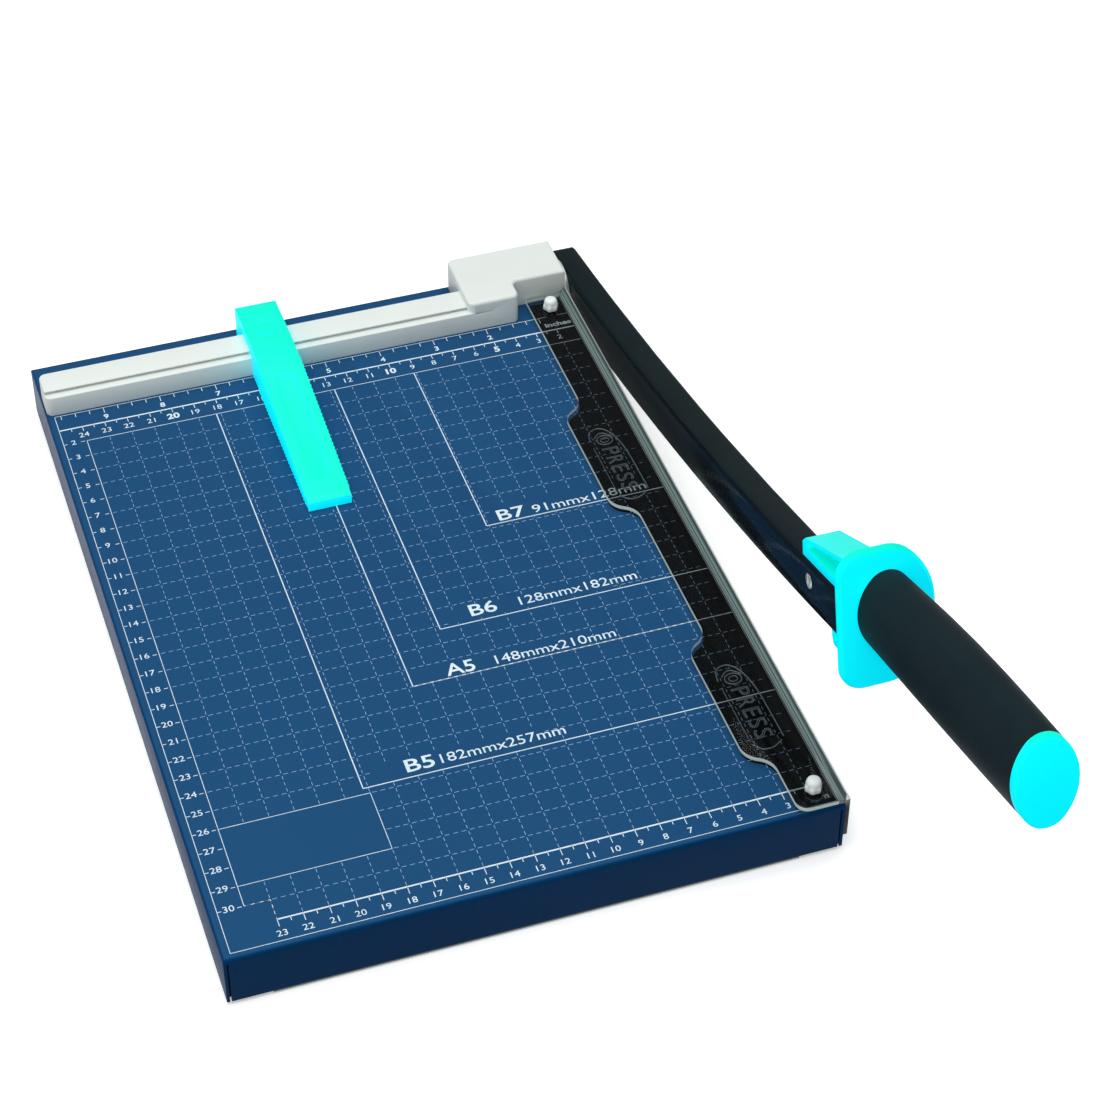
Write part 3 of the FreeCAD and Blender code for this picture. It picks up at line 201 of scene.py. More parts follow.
# Blade steel lacquered black: glossy towards the handle and rubbed dull near the hinge.
bladeLook = {"colour": "#0B1114", "second": "#0E161B", "drift": 30, "grain": 0.4, "depth": 0.006,
             "stretch": (1, 0.04, 1), "roughness": (0.14, 0.2), "shader": {"Specular IOR Level": 0.4},
             "glossyUpTo": -25, "dullFrom": 5, "dull": 0.55}   # along the blade, in mm
lacqueredBlade, tree, parts = makeMaterial("lacquered_blade_steel", bladeLook)
along = addNode(tree, "ShaderNodeSeparateXYZ", {}, {0: parts["place"].outputs["Object"]})
dull = addNode(tree, "ShaderNodeMapRange",
               {"From Min": bladeLook["glossyUpTo"] * mm, "From Max": bladeLook["dullFrom"] * mm,
                "To Min": 0.0, "To Max": bladeLook["dull"]}, {"Value": along.outputs[1]})
lacquer = addNode(tree, "ShaderNodeMath", {"operation": "MAXIMUM"},
                  {0: dull.outputs[0], 1: parts["rough"].outputs[0]})
tree.links.new(lacquer.outputs[0], parts["shader"].inputs["Roughness"])

# Powder-coated steel bar: matt black with a fine dry texture.
powderCoat = makeMaterial("powder_coated_steel", {
    "colour": "#0B181B", "second": "#0D1B1F", "drift": 25, "grain": 0.7, "depth": 0.03,
    "roughness": (0.42, 0.55), "shader": {"Specular IOR Level": 0.075}})[0]

# Blackened steel screws and posts: dark, with a soft metallic shine.
blackSteel = makeMaterial("blackened_steel", {
    "colour": "#1A1D1F", "second": "#24282A", "drift": 4, "grain": 0.4, "depth": 0.01,
    "roughness": (0.3, 0.45), "shader": {"Metallic": 0.9}})[0]

# Spring steel, drawn and tempered: grey and smooth.
springSteel = makeMaterial("spring_steel", {
    "colour": "#8F9698", "second": "#767E82", "drift": 4, "grain": 0.3, "depth": 0.005,
    "roughness": (0.2, 0.35), "shader": {"Metallic": 1.0}})[0]

# Sintered bronze, dull and pitted.
sinteredBronze = makeMaterial("sintered_bronze", {
    "colour": "#8C6A3A", "second": "#7A5A30", "drift": 3, "grain": 0.25, "depth": 0.02,
    "roughness": (0.45, 0.6), "shader": {"Metallic": 1.0}})[0]


def fluorescent(name, look):
    # painted light: a turquoise base and an emitted blue glow, strong on the sides and weak on faces that
    # look up, standing in for light on the shaded sides
    material, tree, parts = makeMaterial(name, look)
    facing = addNode(tree, "ShaderNodeSeparateXYZ", {}, {0: parts["place"].outputs["Normal"]})
    paintedGlow = addNode(tree, "ShaderNodeMapRange",
                   {"From Min": look["shadeEnd"], "From Max": look["litFrom"],
                    "To Min": look["paintedGlow"], "To Max": look["litGlow"]}, {"Value": facing.outputs[2]})
    tree.links.new(paintedGlow.outputs[0], parts["shader"].inputs["Emission Strength"])
    material.cycles.emission_sampling = "NONE"
    return material


# Moulded cyan ABS and polypropylene with a low gloss, and the painted glow by facing from above.
cyanStop = fluorescent("moulded_cyan_abs", {
    "colour": "#06F2CE", "second": "#04EDC9", "drift": 40, "grain": 0.6, "depth": 0.012,
    "roughness": (0.45, 0.55), "paintedGlow": 0.9, "litGlow": 0.08, "shadeEnd": 0.6, "litFrom": 0.95,
    "shader": {"Emission Color": linear("#00B4E0"), "Specular IOR Level": 0.15}})
cyanPolypropylene = fluorescent("moulded_polypropylene", {
    "colour": "#06F2D2", "second": "#04EDCC", "drift": 40, "grain": 0.6, "depth": 0.015,
    "roughness": (0.42, 0.52), "paintedGlow": 0.88, "litGlow": 0.08, "shadeEnd": 0.5, "litFrom": 0.85,
    "shader": {"Emission Color": linear("#00AADC"), "Specular IOR Level": 0.04}})

# Foam rubber, closed cell: near black, with fine pores and hardly any sheen.
foamRubber = makeMaterial("foam_rubber", {
    "colour": "#172428", "second": "#1A272B", "drift": 20, "grain": 0.9, "depth": 0.05, "detail": 6.0,
    "roughness": (0.48, 0.62), "shader": {"Specular IOR Level": 0.03}})[0]

# Moulded nylon: a plain, soft white.
nylon = makeMaterial("moulded_nylon", {
    "colour": "#E6EAE9", "second": "#DDE3E2", "drift": 6, "grain": 0.4, "depth": 0.012,
    "roughness": (0.4, 0.5)})[0]

# Nitrile rubber: black and dull.
nitrileRubber = makeMaterial("nitrile_rubber", {
    "colour": "#141617", "second": "#1B1E1F", "drift": 5, "grain": 0.5, "depth": 0.03,
    "roughness": (0.65, 0.8)})[0]

# Smoke-tinted acrylic: dark, glossy and see-through. Its cut edges carry a painted highlight in light grey
# with a faint painted glow, and painted bands of reflection run across its turned-up lip.
guardLook = {
    "colour": "#070A0C", "second": "#090D0F", "drift": 60, "grain": 8, "depth": 0.01,
    "roughness": (0.05, 0.08), "strength": 0.03,
    "clear": 0.26, "solid": 0.85, "edge": "#AEBBB6", "paintedEdgeGlow": 0.3, "underside": 0.6,
    "edgeLeftOf": 105, "endDepth": 2.5, "lipWidth": 3.2,
    "paintedLipReflections": [(0.0, "#0C1012"), (0.03, "#CBD8D5"), (0.09, "#1E2827"), (0.16, "#5F7573"),
                 (0.34, "#7B918F"), (0.46, "#33403F"), (0.52, "#8FA6A4"), (0.68, "#5C716F"),
                 (0.76, "#141B1B"), (0.86, "#4C5E5D"), (0.95, "#C4D0CC")]}
# the emission colour is for the painted glow along the edges
guardLook["shader"] = {"Alpha": guardLook["clear"], "Specular IOR Level": 0.3,
                       "Emission Color": linear("#B9CCC8")}
smokeAcrylic, tree, parts = makeMaterial("smoke_acrylic", guardLook)
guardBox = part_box("guard_plate")
where = addNode(tree, "ShaderNodeSeparateXYZ", {}, {0: parts["place"].outputs["Object"]})
facing = addNode(tree, "ShaderNodeSeparateXYZ", {}, {0: parts["place"].outputs["Normal"]})
# painted reflections: light and dark bands across the width of the turned-up lip
across = addNode(tree, "ShaderNodeMapRange",
                 {"From Min": guardBox[1].x - guardLook["lipWidth"] * mm, "From Max": guardBox[1].x},
                 {"Value": where.outputs[0]})
paintedLipReflections = addNode(tree, "ShaderNodeValToRGB", {}, {0: across.outputs[0]})
while len(paintedLipReflections.color_ramp.elements) < len(guardLook["paintedLipReflections"]):
    paintedLipReflections.color_ramp.elements.new(0.5)
for element, (at, shade) in zip(paintedLipReflections.color_ramp.elements, guardLook["paintedLipReflections"]):
    element.position = at
    element.color = linear(shade)
inLip = addNode(tree, "ShaderNodeMath", {"operation": "GREATER_THAN", 1: 0.02}, {0: across.outputs[0]})
level = addNode(tree, "ShaderNodeMath", {"operation": "ABSOLUTE"}, {0: facing.outputs[2]})
isUpright = addNode(tree, "ShaderNodeMath", {"operation": "LESS_THAN", 1: 0.5}, {0: level.outputs[0]})
# the outline's edges, and not the walls of the post holes
zones = [("LESS_THAN", 0, guardLook["edgeLeftOf"] * mm),
         ("LESS_THAN", 1, guardBox[0].y + guardLook["endDepth"] * mm),
         ("GREATER_THAN", 1, guardBox[1].y - guardLook["endDepth"] * mm)]
outline = None
for operation, axis, limit in zones:
    zone = addNode(tree, "ShaderNodeMath", {"operation": operation, 1: limit}, {0: where.outputs[axis]})
    outline = zone if outline is None else addNode(tree, "ShaderNodeMath", {"operation": "MAXIMUM"},
                                                   {0: outline.outputs[0], 1: zone.outputs[0]})
# painted highlight: the upright faces of the outline in light grey, more solid and with a faint glow
isEdge = addNode(tree, "ShaderNodeMath", {"operation": "MULTIPLY"},
                 {0: isUpright.outputs[0], 1: outline.outputs[0]})
paintedEdgeHighlight = addNode(tree, "ShaderNodeMix", {"data_type": "RGBA", 7: linear(guardLook["edge"])},
                   {0: isEdge.outputs[0], 6: parts["colour"].outputs[2]})
guardTone = addNode(tree, "ShaderNodeMix", {"data_type": "RGBA"},
                    {0: inLip.outputs[0], 6: paintedEdgeHighlight.outputs[2], 7: paintedLipReflections.outputs[0]})
paintedLightMask = addNode(tree, "ShaderNodeMath", {"operation": "MAXIMUM"},
                         {0: isEdge.outputs[0], 1: inLip.outputs[0]})
solidity = addNode(tree, "ShaderNodeMapRange", {"To Min": guardLook["clear"], "To Max": guardLook["solid"]},
                   {"Value": paintedLightMask.outputs[0]})
outsideLip = addNode(tree, "ShaderNodeMath", {"operation": "SUBTRACT", 0: 1.0}, {1: inLip.outputs[0]})
plainEdge = addNode(tree, "ShaderNodeMath", {"operation": "MULTIPLY"},
                    {0: isEdge.outputs[0], 1: outsideLip.outputs[0]})
paintedEdgeGlow = addNode(tree, "ShaderNodeMath", {"operation": "MULTIPLY", 1: guardLook["paintedEdgeGlow"]},
                   {0: plainEdge.outputs[0]})
tree.links.new(paintedEdgeGlow.outputs[0], parts["shader"].inputs["Emission Strength"])
smokeAcrylic.cycles.emission_sampling = "NONE"
# the underside is left dull, so that the deck below shows evenly
underside = addNode(tree, "ShaderNodeMapRange",
                    {"From Min": -0.9, "From Max": -0.5, "To Min": guardLook["underside"], "To Max": 0.0},
                    {"Value": facing.outputs[2]})
gloss = addNode(tree, "ShaderNodeMath", {"operation": "MAXIMUM"},
                {0: underside.outputs[0], 1: parts["rough"].outputs[0]})
tree.links.new(gloss.outputs[0], parts["shader"].inputs["Roughness"])
tree.links.new(guardTone.outputs[2], parts["shader"].inputs["Base Color"])
tree.links.new(solidity.outputs[0], parts["shader"].inputs["Alpha"])

# The raised lettering and ridges on the same acrylic, a little rough, in a lighter grey that is painted
# highlight along them.
highlightGreyAcrylic = makeMaterial("acrylic_painted_highlight", {
    "colour": "#4B5759", "second": "#586467", "drift": 3, "grain": 0.4, "depth": 0.02,
    "roughness": (0.2, 0.35), "shader": {"Alpha": 0.65}})[0]
print("materials made:", len(bpy.data.materials))


# each CAD node gets its material, and its facets are welded, rounded at the edges and shaded smooth
nodeFinish = {"weld": 0.002, "flat": 0.6, "roundFrom": 38, "creaseFrom": 32}   # mm, then degrees


def makeSmoothTree():
    # smooth faces, and a sharp edge wherever the surface turns past the crease angle
    tree = bpy.data.node_groups.new("smooth_between_creases", "GeometryNodeTree")
    tree.interface.new_socket("Geometry", in_out="INPUT", socket_type="NodeSocketGeometry")
    tree.interface.new_socket("Geometry", in_out="OUTPUT", socket_type="NodeSocketGeometry")
    start = addNode(tree, "NodeGroupInput")
    angle = addNode(tree, "GeometryNodeInputMeshEdgeAngle")
    crease = addNode(tree, "FunctionNodeCompare",
                     {"operation": "GREATER_THAN", "B": math.radians(nodeFinish["creaseFrom"])},
                     {"A": angle.outputs[0]})
    smooth = addNode(tree, "GeometryNodeSetShadeSmooth", {"domain": "FACE"}, {"Geometry": start.outputs[0]})
    sharp = addNode(tree, "GeometryNodeSetShadeSmooth", {"domain": "EDGE", "Shade Smooth": False},
                    {"Geometry": smooth.outputs[0], "Selection": crease.outputs[0]})
    addNode(tree, "NodeGroupOutput", {}, {0: sharp.outputs[0]})
    return tree


smoothTree = makeSmoothTree()

# material and edge rounding (mm) of each node
finishes = {
    "base_tray": (deckEnamel, 0.25), "rubber_feet": (nitrileRubber, 0.3),
    "fence_moulding": (mouldedAbs, 0.25), "fence_screws": (zincSteel, 0),
    "bed_knife": (groundSteel, 0.1), "knife_screws": (zincSteel, 0),
    "hinge_bracket": (zincSteel, 0.2), "bracket_screws": (zincSteel, 0), "bracket_nuts": (zincSteel, 0.2),
    "pivot_bolt": (zincSteel, 0.25), "pivot_washer": (zincSteel, 0.15),
    "pivot_spring_washer": (springSteel, 0), "pivot_nut": (zincSteel, 0.25),
    "cutting_arm": (powderCoat, 0.3), "blade": (lacqueredBlade, 0.12), "blade_screws": (blackSteel, 0),
    "arm_bush": (sinteredBronze, 0), "handle_screw": (nickelScrew, 0),
    "handle_collar": (cyanPolypropylene, 0.5), "grip": (foamRubber, 0),
    "grip_cap": (cyanPolypropylene, 0.3), "grip_screw": (zincSteel, 0),
    "guard_plate": (smokeAcrylic, 0.2), "guard_posts": (blackSteel, 0), "guard_nuts": (zincSteel, 0.2),
    "guard_springs": (springSteel, 0), "guard_knobs": (nylon, 0.3),
    "paper_stop": (cyanStop, 0.3), "stop_spring": (springSteel, 0),
}
for name, (material, rounding) in finishes.items():
    node = nodes[name]
    node.data.materials.clear()
    node.data.materials.append(material)
    weld = node.modifiers.new("weld", "WELD")
    weld.merge_threshold = nodeFinish["weld"] * mm
    if rounding:
        flat = node.modifiers.new("flat faces joined", "DECIMATE")
        flat.decimate_type = "DISSOLVE"
        flat.angle_limit = math.radians(nodeFinish["flat"])
        edge = node.modifiers.new("edges rounded", "BEVEL")
        edge.width = rounding * mm
        edge.segments = 2
        edge.limit_method = "ANGLE"
        edge.angle_limit = math.radians(nodeFinish["roundFrom"])
    shading = node.modifiers.new("smooth", "NODES")
    shading.node_group = smoothTree
print("nodes dressed:", len(finishes))


def turned(bm, place, axis, profile, lobes=0, lobeDepth=0.0, sides=48):
    # a closed round body: profile holds (radius, height, share of the lobes) in mm, axis to axis
    turn = axis.to_track_quat("Z", "Y").to_matrix().to_4x4()
    rings = []
    for radius, height, share in profile:
        if radius == 0:
            rings.append([bm.verts.new(place + turn @ Vector((0, 0, height * mm)))])
            continue
        ring = []
        for k in range(sides):
            angle = 2 * math.pi * k / sides
            wide = (radius - lobeDepth * share * (1 - math.cos(lobes * angle)) / 2) * mm
            point = Vector((wide * math.cos(angle), wide * math.sin(angle), height * mm))
            ring.append(bm.verts.new(place + turn @ point))
        rings.append(ring)
    for low, high in zip(rings, rings[1:]):
        for k in range(sides):
            j = (k + 1) % sides
            if len(low) == 1:
                bm.faces.new((low[0], high[j], high[k]))
            elif len(high) == 1:
                bm.faces.new((low[k], low[j], high[0]))
            else:
                bm.faces.new((low[k], low[j], high[j], high[k]))


def closeBetween(bm, first, last):
    # two end faces and the sides between two matching outlines
    bm.faces.new(first)
    bm.faces.new(last)
    for k in range(len(first)):
        j = (k + 1) % len(first)
        bm.faces.new((first[k], first[j], last[j], last[k]))


# the guard's knobs, fluted round the skirt and domed; flatShare is a hexagon's flats over its corners
knobLook = {"radius": 3.5, "skirt": 2.5, "edge": 0.3, "shoulder": 0.25, "lobes": 6, "lobeDepth": 0.42,
            "dome": [(3.05, 2.8), (2.95, 3.9), (2.65, 4.8), (1.95, 5.35), (1.0, 5.57)], "crown": 5.6,
            "sunk": 2.95, "flatShare": 0.866}
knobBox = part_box("guard_knobs")
bm = bmesh.new()
knobX = (knobBox[0].x + knobBox[1].x) / 2
knobReach = (knobBox[1].x - knobBox[0].x) / 2 / knobLook["flatShare"]
r, skirt, edge = knobLook["radius"], knobLook["skirt"], knobLook["edge"]
foot = (guardBox[1].z - knobBox[0].z) / mm - knobLook["sunk"]
profile = [(0, foot, 0), (r - edge, foot, 1), (r, foot + edge, 1), (r, skirt - edge, 1),
           (r - knobLook["shoulder"], skirt, 0.6)]
profile += [(radius, height, 0) for radius, height in knobLook["dome"]] + [(0, knobLook["crown"], 0)]
for y in (knobBox[0].y + knobReach, knobBox[1].y - knobReach):
    turned(bm, Vector((knobX, y, knobBox[0].z)), Vector((0, 0, 1)), profile, knobLook["lobes"],
           knobLook["lobeDepth"])
bmesh.ops.recalc_face_normals(bm, faces=bm.faces)
knobs = newPiece("fluted_knobs", meshFrom(bm, "fluted_knobs"), nylon, "base", 50)
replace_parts(knobs, "guard_knobs")

# the handle screw gets its cross recess
screwLook = {"armLength": 3.3, "armWidth": 0.62, "depth": 0.9, "bottom": 0.45, "turn": 25}
screwNode = nodes["handle_screw"]
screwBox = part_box("handle_screw")
screwCentre = Vector((screwBox[0].x, (screwBox[0].y + screwBox[1].y) / 2,
                      (screwBox[0].z + screwBox[1].z) / 2))
bm = bmesh.new()
for turn in (screwLook["turn"], screwLook["turn"] + 90):
    made = bmesh.ops.create_cube(bm, size=1.0)["verts"]
    for v in made:
        # each arm narrows towards the bottom of the recess
        narrow = 1.0 if v.co.x < 0 else screwLook["bottom"]
        v.co = Vector((v.co.x * screwLook["depth"] * 2, v.co.y * screwLook["armLength"] * narrow,
                       v.co.z * screwLook["armWidth"])) * mm
    bmesh.ops.rotate(bm, verts=made, cent=(0, 0, 0), matrix=Matrix.Rotation(math.radians(turn), 3, "X"))
    bmesh.ops.translate(bm, verts=made, vec=screwCentre)
cutter = bpy.data.objects.new("cross_cutter", meshFrom(bm, "cross_cutter"))
scene.collection.objects.link(cutter)
crossed = bpy.data.objects.new("cross_screw", screwNode.data.copy())
crossed.matrix_world = screwNode.matrix_world.copy()
scene.collection.objects.link(crossed)
recess = crossed.modifiers.new("recess", "BOOLEAN")
recess.operation = "DIFFERENCE"
recess.object = cutter
recess.use_self = True
mesh = evaluated(crossed, "cross_screw")
bpy.data.objects.remove(cutter)
mesh.materials.clear()
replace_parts(newPiece("cross_screw", mesh, nickelScrew, "arm", 30), "handle_screw")

# folded tabs that close the tray's corners from inside, near-black as painted shade in the corner seams,
# and the lip below the front wall, grey as a painted highlight
trayLook = {"wall": 1.2, "tab": 6.0, "tabThick": 0.8, "tabGap": 0.05, "tabFold": 0.8, "tabLow": 1.3,
            "tabHigh": 1.4, "lipReach": 105.0,
            "lip": [(0.1, 2.1), (0.1, 1.1), (0.4, 0.8), (1.0, 0.8), (1.3, 1.1), (1.3, 2.1)]}
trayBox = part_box("base_tray")
outer = trayLook["wall"] + trayLook["tabGap"]
inner = outer + trayLook["tabThick"]
reach = outer + trayLook["tab"]
fold = inner + trayLook["tabFold"]
tabOutline = [(outer, outer), (reach, outer), (reach, inner), (fold, inner), (inner, fold),
              (inner, reach), (outer, reach)]
bm = bmesh.new()
for sx in (-1, 1):
    for sy in (-1, 1):
        columns = []
        for z in (trayBox[0].z + trayLook["tabLow"] * mm, trayBox[1].z - trayLook["tabHigh"] * mm):
            columns.append([bm.verts.new((sx * (trayBox[1].x - a * mm), sy * (trayBox[1].y - b * mm), z))
                            for a, b in tabOutline])
        closeBetween(bm, columns[0], columns[1])
bmesh.ops.recalc_face_normals(bm, faces=bm.faces)
newPiece("corner_tabs", meshFrom(bm, "corner_tabs"), paintedShadeBlack, "base")
bm = bmesh.new()
ends = []
for x in (-trayLook["lipReach"] * mm, trayLook["lipReach"] * mm):
    ends.append([bm.verts.new((x, trayBox[0].y + a * mm, b * mm)) for a, b in trayLook["lip"]])
closeBetween(bm, ends[0], ends[1])
bmesh.ops.recalc_face_normals(bm, faces=bm.faces)
newPiece("front_lip", meshFrom(bm, "front_lip"), litLipGrey, "base")
print("small pieces made")

# printing on the deck, in mm: ink just proud of the enamel, the widths of its lines, and the x of the
# cutting edge and y of the fence, from which the print is measured
ink = {"sunk": 0.02, "proud": 0.04, "fine": 0.26, "bold": 0.68, "format": 0.44,
       "cutEdge": 131.05, "fence": 142.85}
deckTopZ = trayBox[1].z


def deckPoint(u, v):
    # u runs in from the cutting edge and v forward from the fence, both in mm
    return Vector((ink["cutEdge"] - u, ink["fence"] - v, 0)) * mm


def strip(bm, start, end, width):
    # one flat bar of ink from start to end, with its top, ends and sides
    along = (end - start).normalized()
    side = Vector((-along.y, along.x, 0)) * (width * mm / 2)
    low = Vector((0, 0, deckTopZ - ink["sunk"] * mm))
    high = Vector((0, 0, deckTopZ + ink["proud"] * mm))
    corners = [start - side, end - side, end + side, start + side]
    bottom = [bm.verts.new(c + low) for c in corners]
    top = [bm.verts.new(c + high) for c in corners]
    bm.faces.new(bottom[::-1])
    bm.faces.new(top)
    for i in range(4):
        j = (i + 1) % 4
        bm.faces.new((bottom[i], bottom[j], top[j], top[i]))


# a near-black sheet of painted shade under the guard follows the guard's own outline, a little inside it
shadeSheetLook = {"inset": 0.6, "deckMargin": 2.0, "springReach": 6, "postGap": 0.3}
bm = bmesh.new()
bm.from_mesh(nodes["guard_plate"].data)
bmesh.ops.remove_doubles(bm, verts=bm.verts, dist=nodeFinish["weld"] * mm)
above = [f for f in bm.faces
         if f.normal.z > -0.9 or f.calc_center_median().z > guardBox[0].z + 0.05 * mm]
bmesh.ops.delete(bm, geom=above, context="FACES")
rim = bmesh.ops.inset_region(bm, faces=bm.faces[:], thickness=shadeSheetLook["inset"] * mm,
                             use_even_offset=True, use_boundary=True)
bmesh.ops.delete(bm, geom=rim["faces"], context="FACES")
bmesh.ops.reverse_faces(bm, faces=bm.faces[:])
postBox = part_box("guard_posts")
postRadius = (postBox[1].x - postBox[0].x) / 2
margin = shadeSheetLook["deckMargin"] * mm
for v in bm.verts:
    v.co = Vector((min(v.co.x, trayBox[1].x - margin), max(v.co.y, trayBox[0].y + margin),
                   deckTopZ - ink["sunk"] * mm))
    for y in (postBox[0].y + postRadius, postBox[1].y - postRadius):
        # the painted shade runs in under the springs, up to the posts
        post = Vector((postBox[0].x + postRadius, y, v.co.z))
        if (v.co - post).length < shadeSheetLook["springReach"] * mm:
            v.co = post + (v.co - post).normalized() * (postRadius + shadeSheetLook["postGap"] * mm)
ground = bm.faces[:]
raised = bmesh.ops.extrude_face_region(bm, geom=ground)
for v in [g for g in raised["geom"] if isinstance(g, bmesh.types.BMVert)]:
    v.co.z += (ink["sunk"] + ink["proud"] / 3) * mm
bmesh.ops.reverse_faces(bm, faces=ground)
newPiece("print_ground", meshFrom(bm, "print_ground"), paintedShadeBlack, "base")

# ruled lines, in mm leftwards from the cut (u) and towards the front from the fence (v)
ruled = {"right": 11.4, "left": 240.0, "border": 250.3, "borderEnd": 320.4, "scale": 10, "gridTop": 20,
         "gridEnd": 300, "lowLeft": 230, "lowScale": 310, "lowRight": 14.5,
         "panelRight": 180, "panelTop": 260, "panelEnd": 290,
         "formats": [(91, 128), (128, 182), (148, 210), (182, 257)]}
bm = bmesh.new()
fine, bold = ink["fine"], ink["bold"]
left, right, border, borderEnd = (ruled[key] for key in ("left", "right", "border", "borderEnd"))
gridTop, gridEnd, lowLeft, lowScale = (ruled[key] for key in ("gridTop", "gridEnd", "lowLeft", "lowScale"))
panelRight, panelTop, panelEnd = (ruled[key] for key in ("panelRight", "panelTop", "panelEnd"))
lines = [(border, 0, border, borderEnd, fine), (border, borderEnd, right, borderEnd, fine),
         (border, 0, right, 0, fine), (border, ruled["scale"], right, ruled["scale"], bold),
         (left, gridTop, right, gridTop, fine), (left, gridTop, left, gridEnd, fine),
         (left, gridEnd, lowLeft, gridEnd, fine), (lowLeft, gridEnd, lowLeft, lowScale, fine),
         (lowLeft, lowScale, ruled["lowRight"], lowScale, bold),
         (left, panelTop, panelRight, panelTop, fine), (panelRight, panelTop, panelRight, panelEnd, fine),
         (panelRight, panelEnd, left, panelEnd, fine)]
for wide, high in ruled["formats"]:
    lines.append((wide, gridTop, wide, high, ink["format"]))
    lines.append((wide, high, right, high, ink["format"]))
for u0, v0, u1, v1, width in lines:
    strip(bm, deckPoint(u0, v0), deckPoint(u1, v1), width)
newPiece("print_lines", meshFrom(bm, "print_lines"), screenInk, "base")

# areas that the grid leaves bare: the panel at the left, and the ground behind each format's words,
# which stand just above its lower line
bareAreas = [(panelRight - 0.5, left + 0.5, panelTop - 0.5, panelEnd + 0.5), (17, 86, 117.4, 127.4)]
for wide, high in ruled["formats"][1:]:
    bareAreas.append((wide - 74, wide - 4, high - 9.4, high - 0.6))


def makeDashTree():
    # a grid of points with a dash on each, but for those above a bare area
    tree = bpy.data.node_groups.new("dashed_grid", "GeometryNodeTree")
    face = tree.interface
    for name, kind in (("Size X", "NodeSocketFloat"), ("Size Y", "NodeSocketFloat"),
                       ("Count X", "NodeSocketInt"), ("Count Y", "NodeSocketInt"),
                       ("Centre", "NodeSocketVector"), ("Dash", "NodeSocketVector"),
                       ("Bare Areas", "NodeSocketObject"), ("Ink", "NodeSocketMaterial")):
        face.new_socket(name, in_out="INPUT", socket_type=kind)
    face.new_socket("Geometry", in_out="OUTPUT", socket_type="NodeSocketGeometry")
    start = addNode(tree, "NodeGroupInput")
    grid = addNode(tree, "GeometryNodeMeshGrid", {}, {
        "Size X": start.outputs["Size X"], "Size Y": start.outputs["Size Y"],
        "Vertices X": start.outputs["Count X"], "Vertices Y": start.outputs["Count Y"]})
    moved = addNode(tree, "GeometryNodeSetPosition", {}, {
        "Geometry": grid.outputs["Mesh"], "Offset": start.outputs["Centre"]})
    bare = addNode(tree, "GeometryNodeObjectInfo", {}, {"Object": start.outputs["Bare Areas"]})
    here = addNode(tree, "GeometryNodeInputPosition")
    above = addNode(tree, "ShaderNodeVectorMath", {"operation": "ADD", 1: (0, 0, 1)}, {0: here.outputs[0]})
    look = addNode(tree, "GeometryNodeRaycast", {"Ray Direction": (0, 0, -1), "Ray Length": 3.0}, {
        "Target Geometry": bare.outputs["Geometry"], "Source Position": above.outputs[0]})
    kept = addNode(tree, "GeometryNodeDeleteGeometry", {}, {
        "Geometry": moved.outputs[0], "Selection": look.outputs["Is Hit"]})
    dash = addNode(tree, "GeometryNodeMeshCube", {}, {"Size": start.outputs["Dash"]})
    placed = addNode(tree, "GeometryNodeInstanceOnPoints", {}, {
        "Points": kept.outputs[0], "Instance": dash.outputs["Mesh"]})
    real = addNode(tree, "GeometryNodeRealizeInstances", {}, {"Geometry": placed.outputs[0]})
    inked = addNode(tree, "GeometryNodeSetMaterial", {}, {
        "Geometry": real.outputs[0], "Material": start.outputs["Ink"]})
    addNode(tree, "NodeGroupOutput", {}, {0: inked.outputs[0]})
    return tree


def makeTickTree():
    # a row of ticks in which the first of every few is longer
    tree = bpy.data.node_groups.new("scale_ticks", "GeometryNodeTree")
    face = tree.interface
    for name, kind in (("Count", "NodeSocketInt"), ("Start", "NodeSocketVector"),
                       ("Step", "NodeSocketVector"), ("Every", "NodeSocketInt"),
                       ("Short Tick", "NodeSocketVector"),
                       ("Long Tick", "NodeSocketVector"), ("Reach", "NodeSocketVector"),
                       ("Ink", "NodeSocketMaterial")):
        face.new_socket(name, in_out="INPUT", socket_type=kind)
    face.new_socket("Geometry", in_out="OUTPUT", socket_type="NodeSocketGeometry")
    start = addNode(tree, "NodeGroupInput")
    row = addNode(tree, "GeometryNodeMeshLine", {}, {
        "Count": start.outputs["Count"], "Start Location": start.outputs["Start"],
        "Offset": start.outputs["Step"]})
    index = addNode(tree, "GeometryNodeInputIndex")
    turn = addNode(tree, "ShaderNodeMath", {"operation": "MODULO"},
                   {0: index.outputs[0], 1: start.outputs["Every"]})
    isLong = addNode(tree, "FunctionNodeCompare", {"operation": "LESS_THAN", "B": 0.5},
                     {"A": turn.outputs[0]})
    isShort = addNode(tree, "FunctionNodeBooleanMath", {"operation": "NOT"}, {0: isLong.outputs[0]})
    rows = []
    for size, choice in (("Short Tick", isShort), ("Long Tick", isLong)):
        tick = addNode(tree, "GeometryNodeMeshCube", {}, {"Size": start.outputs[size]})
        half = addNode(tree, "ShaderNodeVectorMath", {"operation": "MULTIPLY"},
                       {0: start.outputs[size], 1: start.outputs["Reach"]})
        hung = addNode(tree, "GeometryNodeTransform", {}, {
            "Geometry": tick.outputs["Mesh"], "Translation": half.outputs[0]})
        rows.append(addNode(tree, "GeometryNodeInstanceOnPoints", {}, {
            "Points": row.outputs[0], "Instance": hung.outputs[0], "Selection": choice.outputs[0]}))
    both = addNode(tree, "GeometryNodeJoinGeometry")
    for placed in rows:
        tree.links.new(placed.outputs[0], both.inputs[0])
    real = addNode(tree, "GeometryNodeRealizeInstances", {}, {"Geometry": both.outputs[0]})
    inked = addNode(tree, "GeometryNodeSetMaterial", {}, {
        "Geometry": real.outputs[0], "Material": start.outputs["Ink"]})
    addNode(tree, "NodeGroupOutput", {}, {0: inked.outputs[0]})
    return tree


